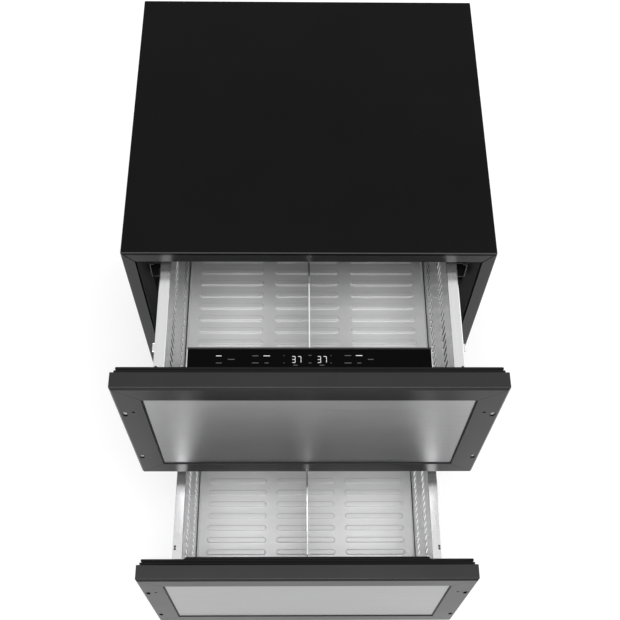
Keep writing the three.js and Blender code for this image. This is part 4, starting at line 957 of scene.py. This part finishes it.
def rear_sheet():
    """Rear sheet with two long rounded beads pressed inwards."""
    low, high = corners("rear_panel")
    bm = bmesh.new()
    edge = [bm.verts.new((x, high.y, z)) for x, z in rectangle((low.x, low.z), (high.x, high.z))]
    middle = (low.z + high.z) / 2
    length = (high.z - low.z) / 2 - BEAD_MARGIN - BEAD_WIDTH / 2
    feet = []
    for x in (low.x / 2, high.x / 2):
        rings = []
        for k in range(BEAD_STEPS + 1):
            radius = BEAD_WIDTH / 2 - BEAD_WIDTH / 4 * k / BEAD_STEPS
            y = high.y - BEAD_DEPTH * swell(k / BEAD_STEPS)
            rings.append([(x + b, y, middle + a) for a, b in stadium(length, radius)])
        bead = loft(bm, rings)
        bm.faces.new(bead[-1])
        feet.append(bead[0])
    fill(bm, edge, *feet)
    thicken(bm, SHEET, (0, 1, 0))
    stand_in("rear_panel", bm)


def rear_screws():
    """Pan-head screws round the rear sheets, their heads low enough to stay behind the bush."""
    low, high = corners("rear_panel")
    cover_low, _ = corners("machine_cover")
    head = [(SCREW_HEAD, high.y - SCREW_SINK)]
    head += [(SCREW_HEAD * width, high.y + SCREW_RISE * rise) for width, rise in SCREW_PROFILE]
    bm = bmesh.new()
    for z in (low.z + REAR_SCREW_MARGIN, (low.z + high.z) / 2, high.z - REAR_SCREW_MARGIN,
              cover_low.z + COVER_SCREW_LIFT):
        for x in (-REAR_SCREW_X, 0, REAR_SCREW_X):
            turned(bm, head, (x, 0, z), sides=20, axis="y")
    piece("rear_screws", bm, "cabinet", "zinc_plate")


def slide_hooks():
    """Bent wire stops at the front ends of the fixed slides."""
    bm = bmesh.new()
    for drawer in DRAWERS:
        for word, side in SIDES:
            low, high = corners(f"{drawer}_{word}_slide_rail")
            out = max(abs(low.x), abs(high.x))
            y = low.y - HOOK_LEAD
            line = [(out - inset * MM, high.z - drop * MM) for inset, drop in HOOK_UPPER]
            line += [(out - inset * MM, low.z + lift * MM) for inset, lift in HOOK_LOWER]
            line = rounded(line, HOOK_BEND, closed=False)
            rings = []
            for i, (x, z) in enumerate(line):
                ahead, behind = line[min(i + 1, len(line) - 1)], line[max(i - 1, 0)]
                along = Vector((ahead[0] - behind[0], ahead[1] - behind[1])).normalized()
                rings.append([(side * (x + a * along.y), y + b, z - a * along.x)
                              for a, b in circle(HOOK_WIRE, sides=10)])
            loft(bm, rings, capped=True)
    piece("slide_stops", bm, "cabinet", "black_enamel")


# ---------------------------------------------------------------- the object

dress_frame()
for drawer in DRAWERS:
    for bar in ("top_rail", "bottom_rail", "left_stile", "right_stile"):
        frame_bar(drawer, bar)
    gasket(drawer)
    if drawer == "upper":
        hole_sleeves(drawer)
    rim_screws(drawer)
    panel_seal(drawer)
    front_liner(drawer)
    floor_tray(drawer)
    bin_rear(drawer)
    eased(f"{drawer}_bin_divider", DIVIDER_EASE, segments=3)
    eased(f"{drawer}_front_panel", PANEL_EASE)
    for word, side in SIDES:
        bin_wall(drawer, side, word)
        for member in ("inner", "middle", "rail"):
            eased(f"{drawer}_{word}_slide_{member}", SLIDE_EASE)
console()
cabinet()
slide_hooks()
rear_screws()
for corner in ("front_left", "front_right", "rear_right", "rear_left"):
    foot(corner + "_foot")
eased("breaker_frame", BREAKER_EASE, segments=3)
eased("kick_grille", GRILLE_EASE)
rear_sheet()
eased("machine_cover", COVER_EASE)


# ---------------------------------------------------------------- floor, light and camera

SKY_LIGHT = 0.85
FLOOR_GLOW = 0.45
FLOOR_REACH = 14.0
FLOOR_COLOR = (0.58, 0.58, 0.58)
# Each lamp's place, the point it faces, its two sides in metres and its power in watts
SOFT_BOXES = {
    "key_light": ((0.0, -1.1, 3.4), (0, -0.25, 0.5), (2.2, 1.0), 60),
    "fill_light": ((2.4, 0.6, 2.8), (0, 0, 0.6), (2.0, 2.0), 18),
}
CAMERA_PLACE = (-0.0224, -0.87833, 2.22489)
CAMERA_PITCH = math.radians(62.123)      # below the horizon
CAMERA_YAW = math.radians(-1.82)
CAMERA_ROLL = math.radians(1.684)
CAMERA_SENSOR = 36.0                     # millimetres, as is the focal length
CAMERA_LENS = 57.39


def shown(tree):
    """1 for a ray from the camera, straight, mirrored or through glass, and 0 for the others."""
    path = add(tree, "ShaderNodeLightPath").outputs
    seen = path["Is Camera Ray"]
    for kind in ("Is Glossy Ray", "Is Transmission Ray"):
        seen = add(tree, "ShaderNodeMath", {0: seen, 1: path[kind]}, operation="MAXIMUM").outputs[0]
    return seen


def floor():
    """A pale floor that shows white and keeps the object's shadow."""
    mesh = bpy.data.meshes.new("studio_floor")
    square = rectangle((-FLOOR_REACH, -FLOOR_REACH), (FLOOR_REACH, FLOOR_REACH))
    mesh.from_pydata([(x, y, 0) for x, y in square], [], [(0, 1, 2, 3)])
    made = bpy.data.objects.new("studio_floor", mesh)
    bpy.context.scene.collection.objects.link(made)
    material, tree, shader = surface("studio_floor")
    cloud = noise(tree, (1, 1, 1), 3.0)
    tree.links.new(tint(tree, FLOOR_COLOR, cloud, 0.01), shader.inputs["Base Color"])
    shader.inputs["Roughness"].default_value = 0.9
    inputs = {0: shown(tree), 1: FLOOR_GLOW}
    glow = add(tree, "ShaderNodeMath", inputs, operation="MULTIPLY").outputs[0]
    shader.inputs["Emission Color"].default_value = (1, 1, 1, 1)
    tree.links.new(glow, shader.inputs["Emission Strength"])
    mesh.materials.append(material)


def world():
    """An even white surround, weaker where it only lights the object."""
    sky = bpy.data.worlds.new("studio_world")
    sky.use_nodes = True
    tree = sky.node_tree
    back = tree.nodes["Background"]
    back.inputs["Color"].default_value = (1, 1, 1, 1)
    tree.links.new(ramp(tree, shown(tree), 0.0, 1.0, SKY_LIGHT, 1.0), back.inputs["Strength"])
    bpy.context.scene.world = sky


def soft_box(name, place, target, size, power):
    """A rectangular lamp that faces a point."""
    light = bpy.data.lights.new(name, "AREA")
    light.shape = "RECTANGLE"
    light.size, light.size_y = size
    light.energy = power
    lamp = bpy.data.objects.new(name, light)
    bpy.context.scene.collection.objects.link(lamp)
    lamp.location = place
    aim = Vector(target) - Vector(place)
    lamp.rotation_euler = aim.to_track_quat("-Z", "Y").to_euler()


def camera():
    """Above and in front, looking steeply down, as fitted to the photograph's vanishing points."""
    lens = bpy.data.cameras.new("photo_camera")
    lens.sensor_width = CAMERA_SENSOR
    lens.lens = CAMERA_LENS
    lens.clip_start = 0.01
    made = bpy.data.objects.new("photo_camera", lens)
    bpy.context.scene.collection.objects.link(made)
    turn = Matrix.Rotation(CAMERA_YAW, 4, "Z") @ Matrix.Rotation(math.pi / 2 - CAMERA_PITCH, 4, "X")
    turn = turn @ Matrix.Rotation(CAMERA_ROLL, 4, "Z")
    made.matrix_world = Matrix.Translation(CAMERA_PLACE) @ turn
    bpy.context.scene.camera = made


floor()
world()
for name, setting in SOFT_BOXES.items():
    soft_box(name, *setting)
camera()

bpy.context.scene.view_settings.view_transform = "Standard"
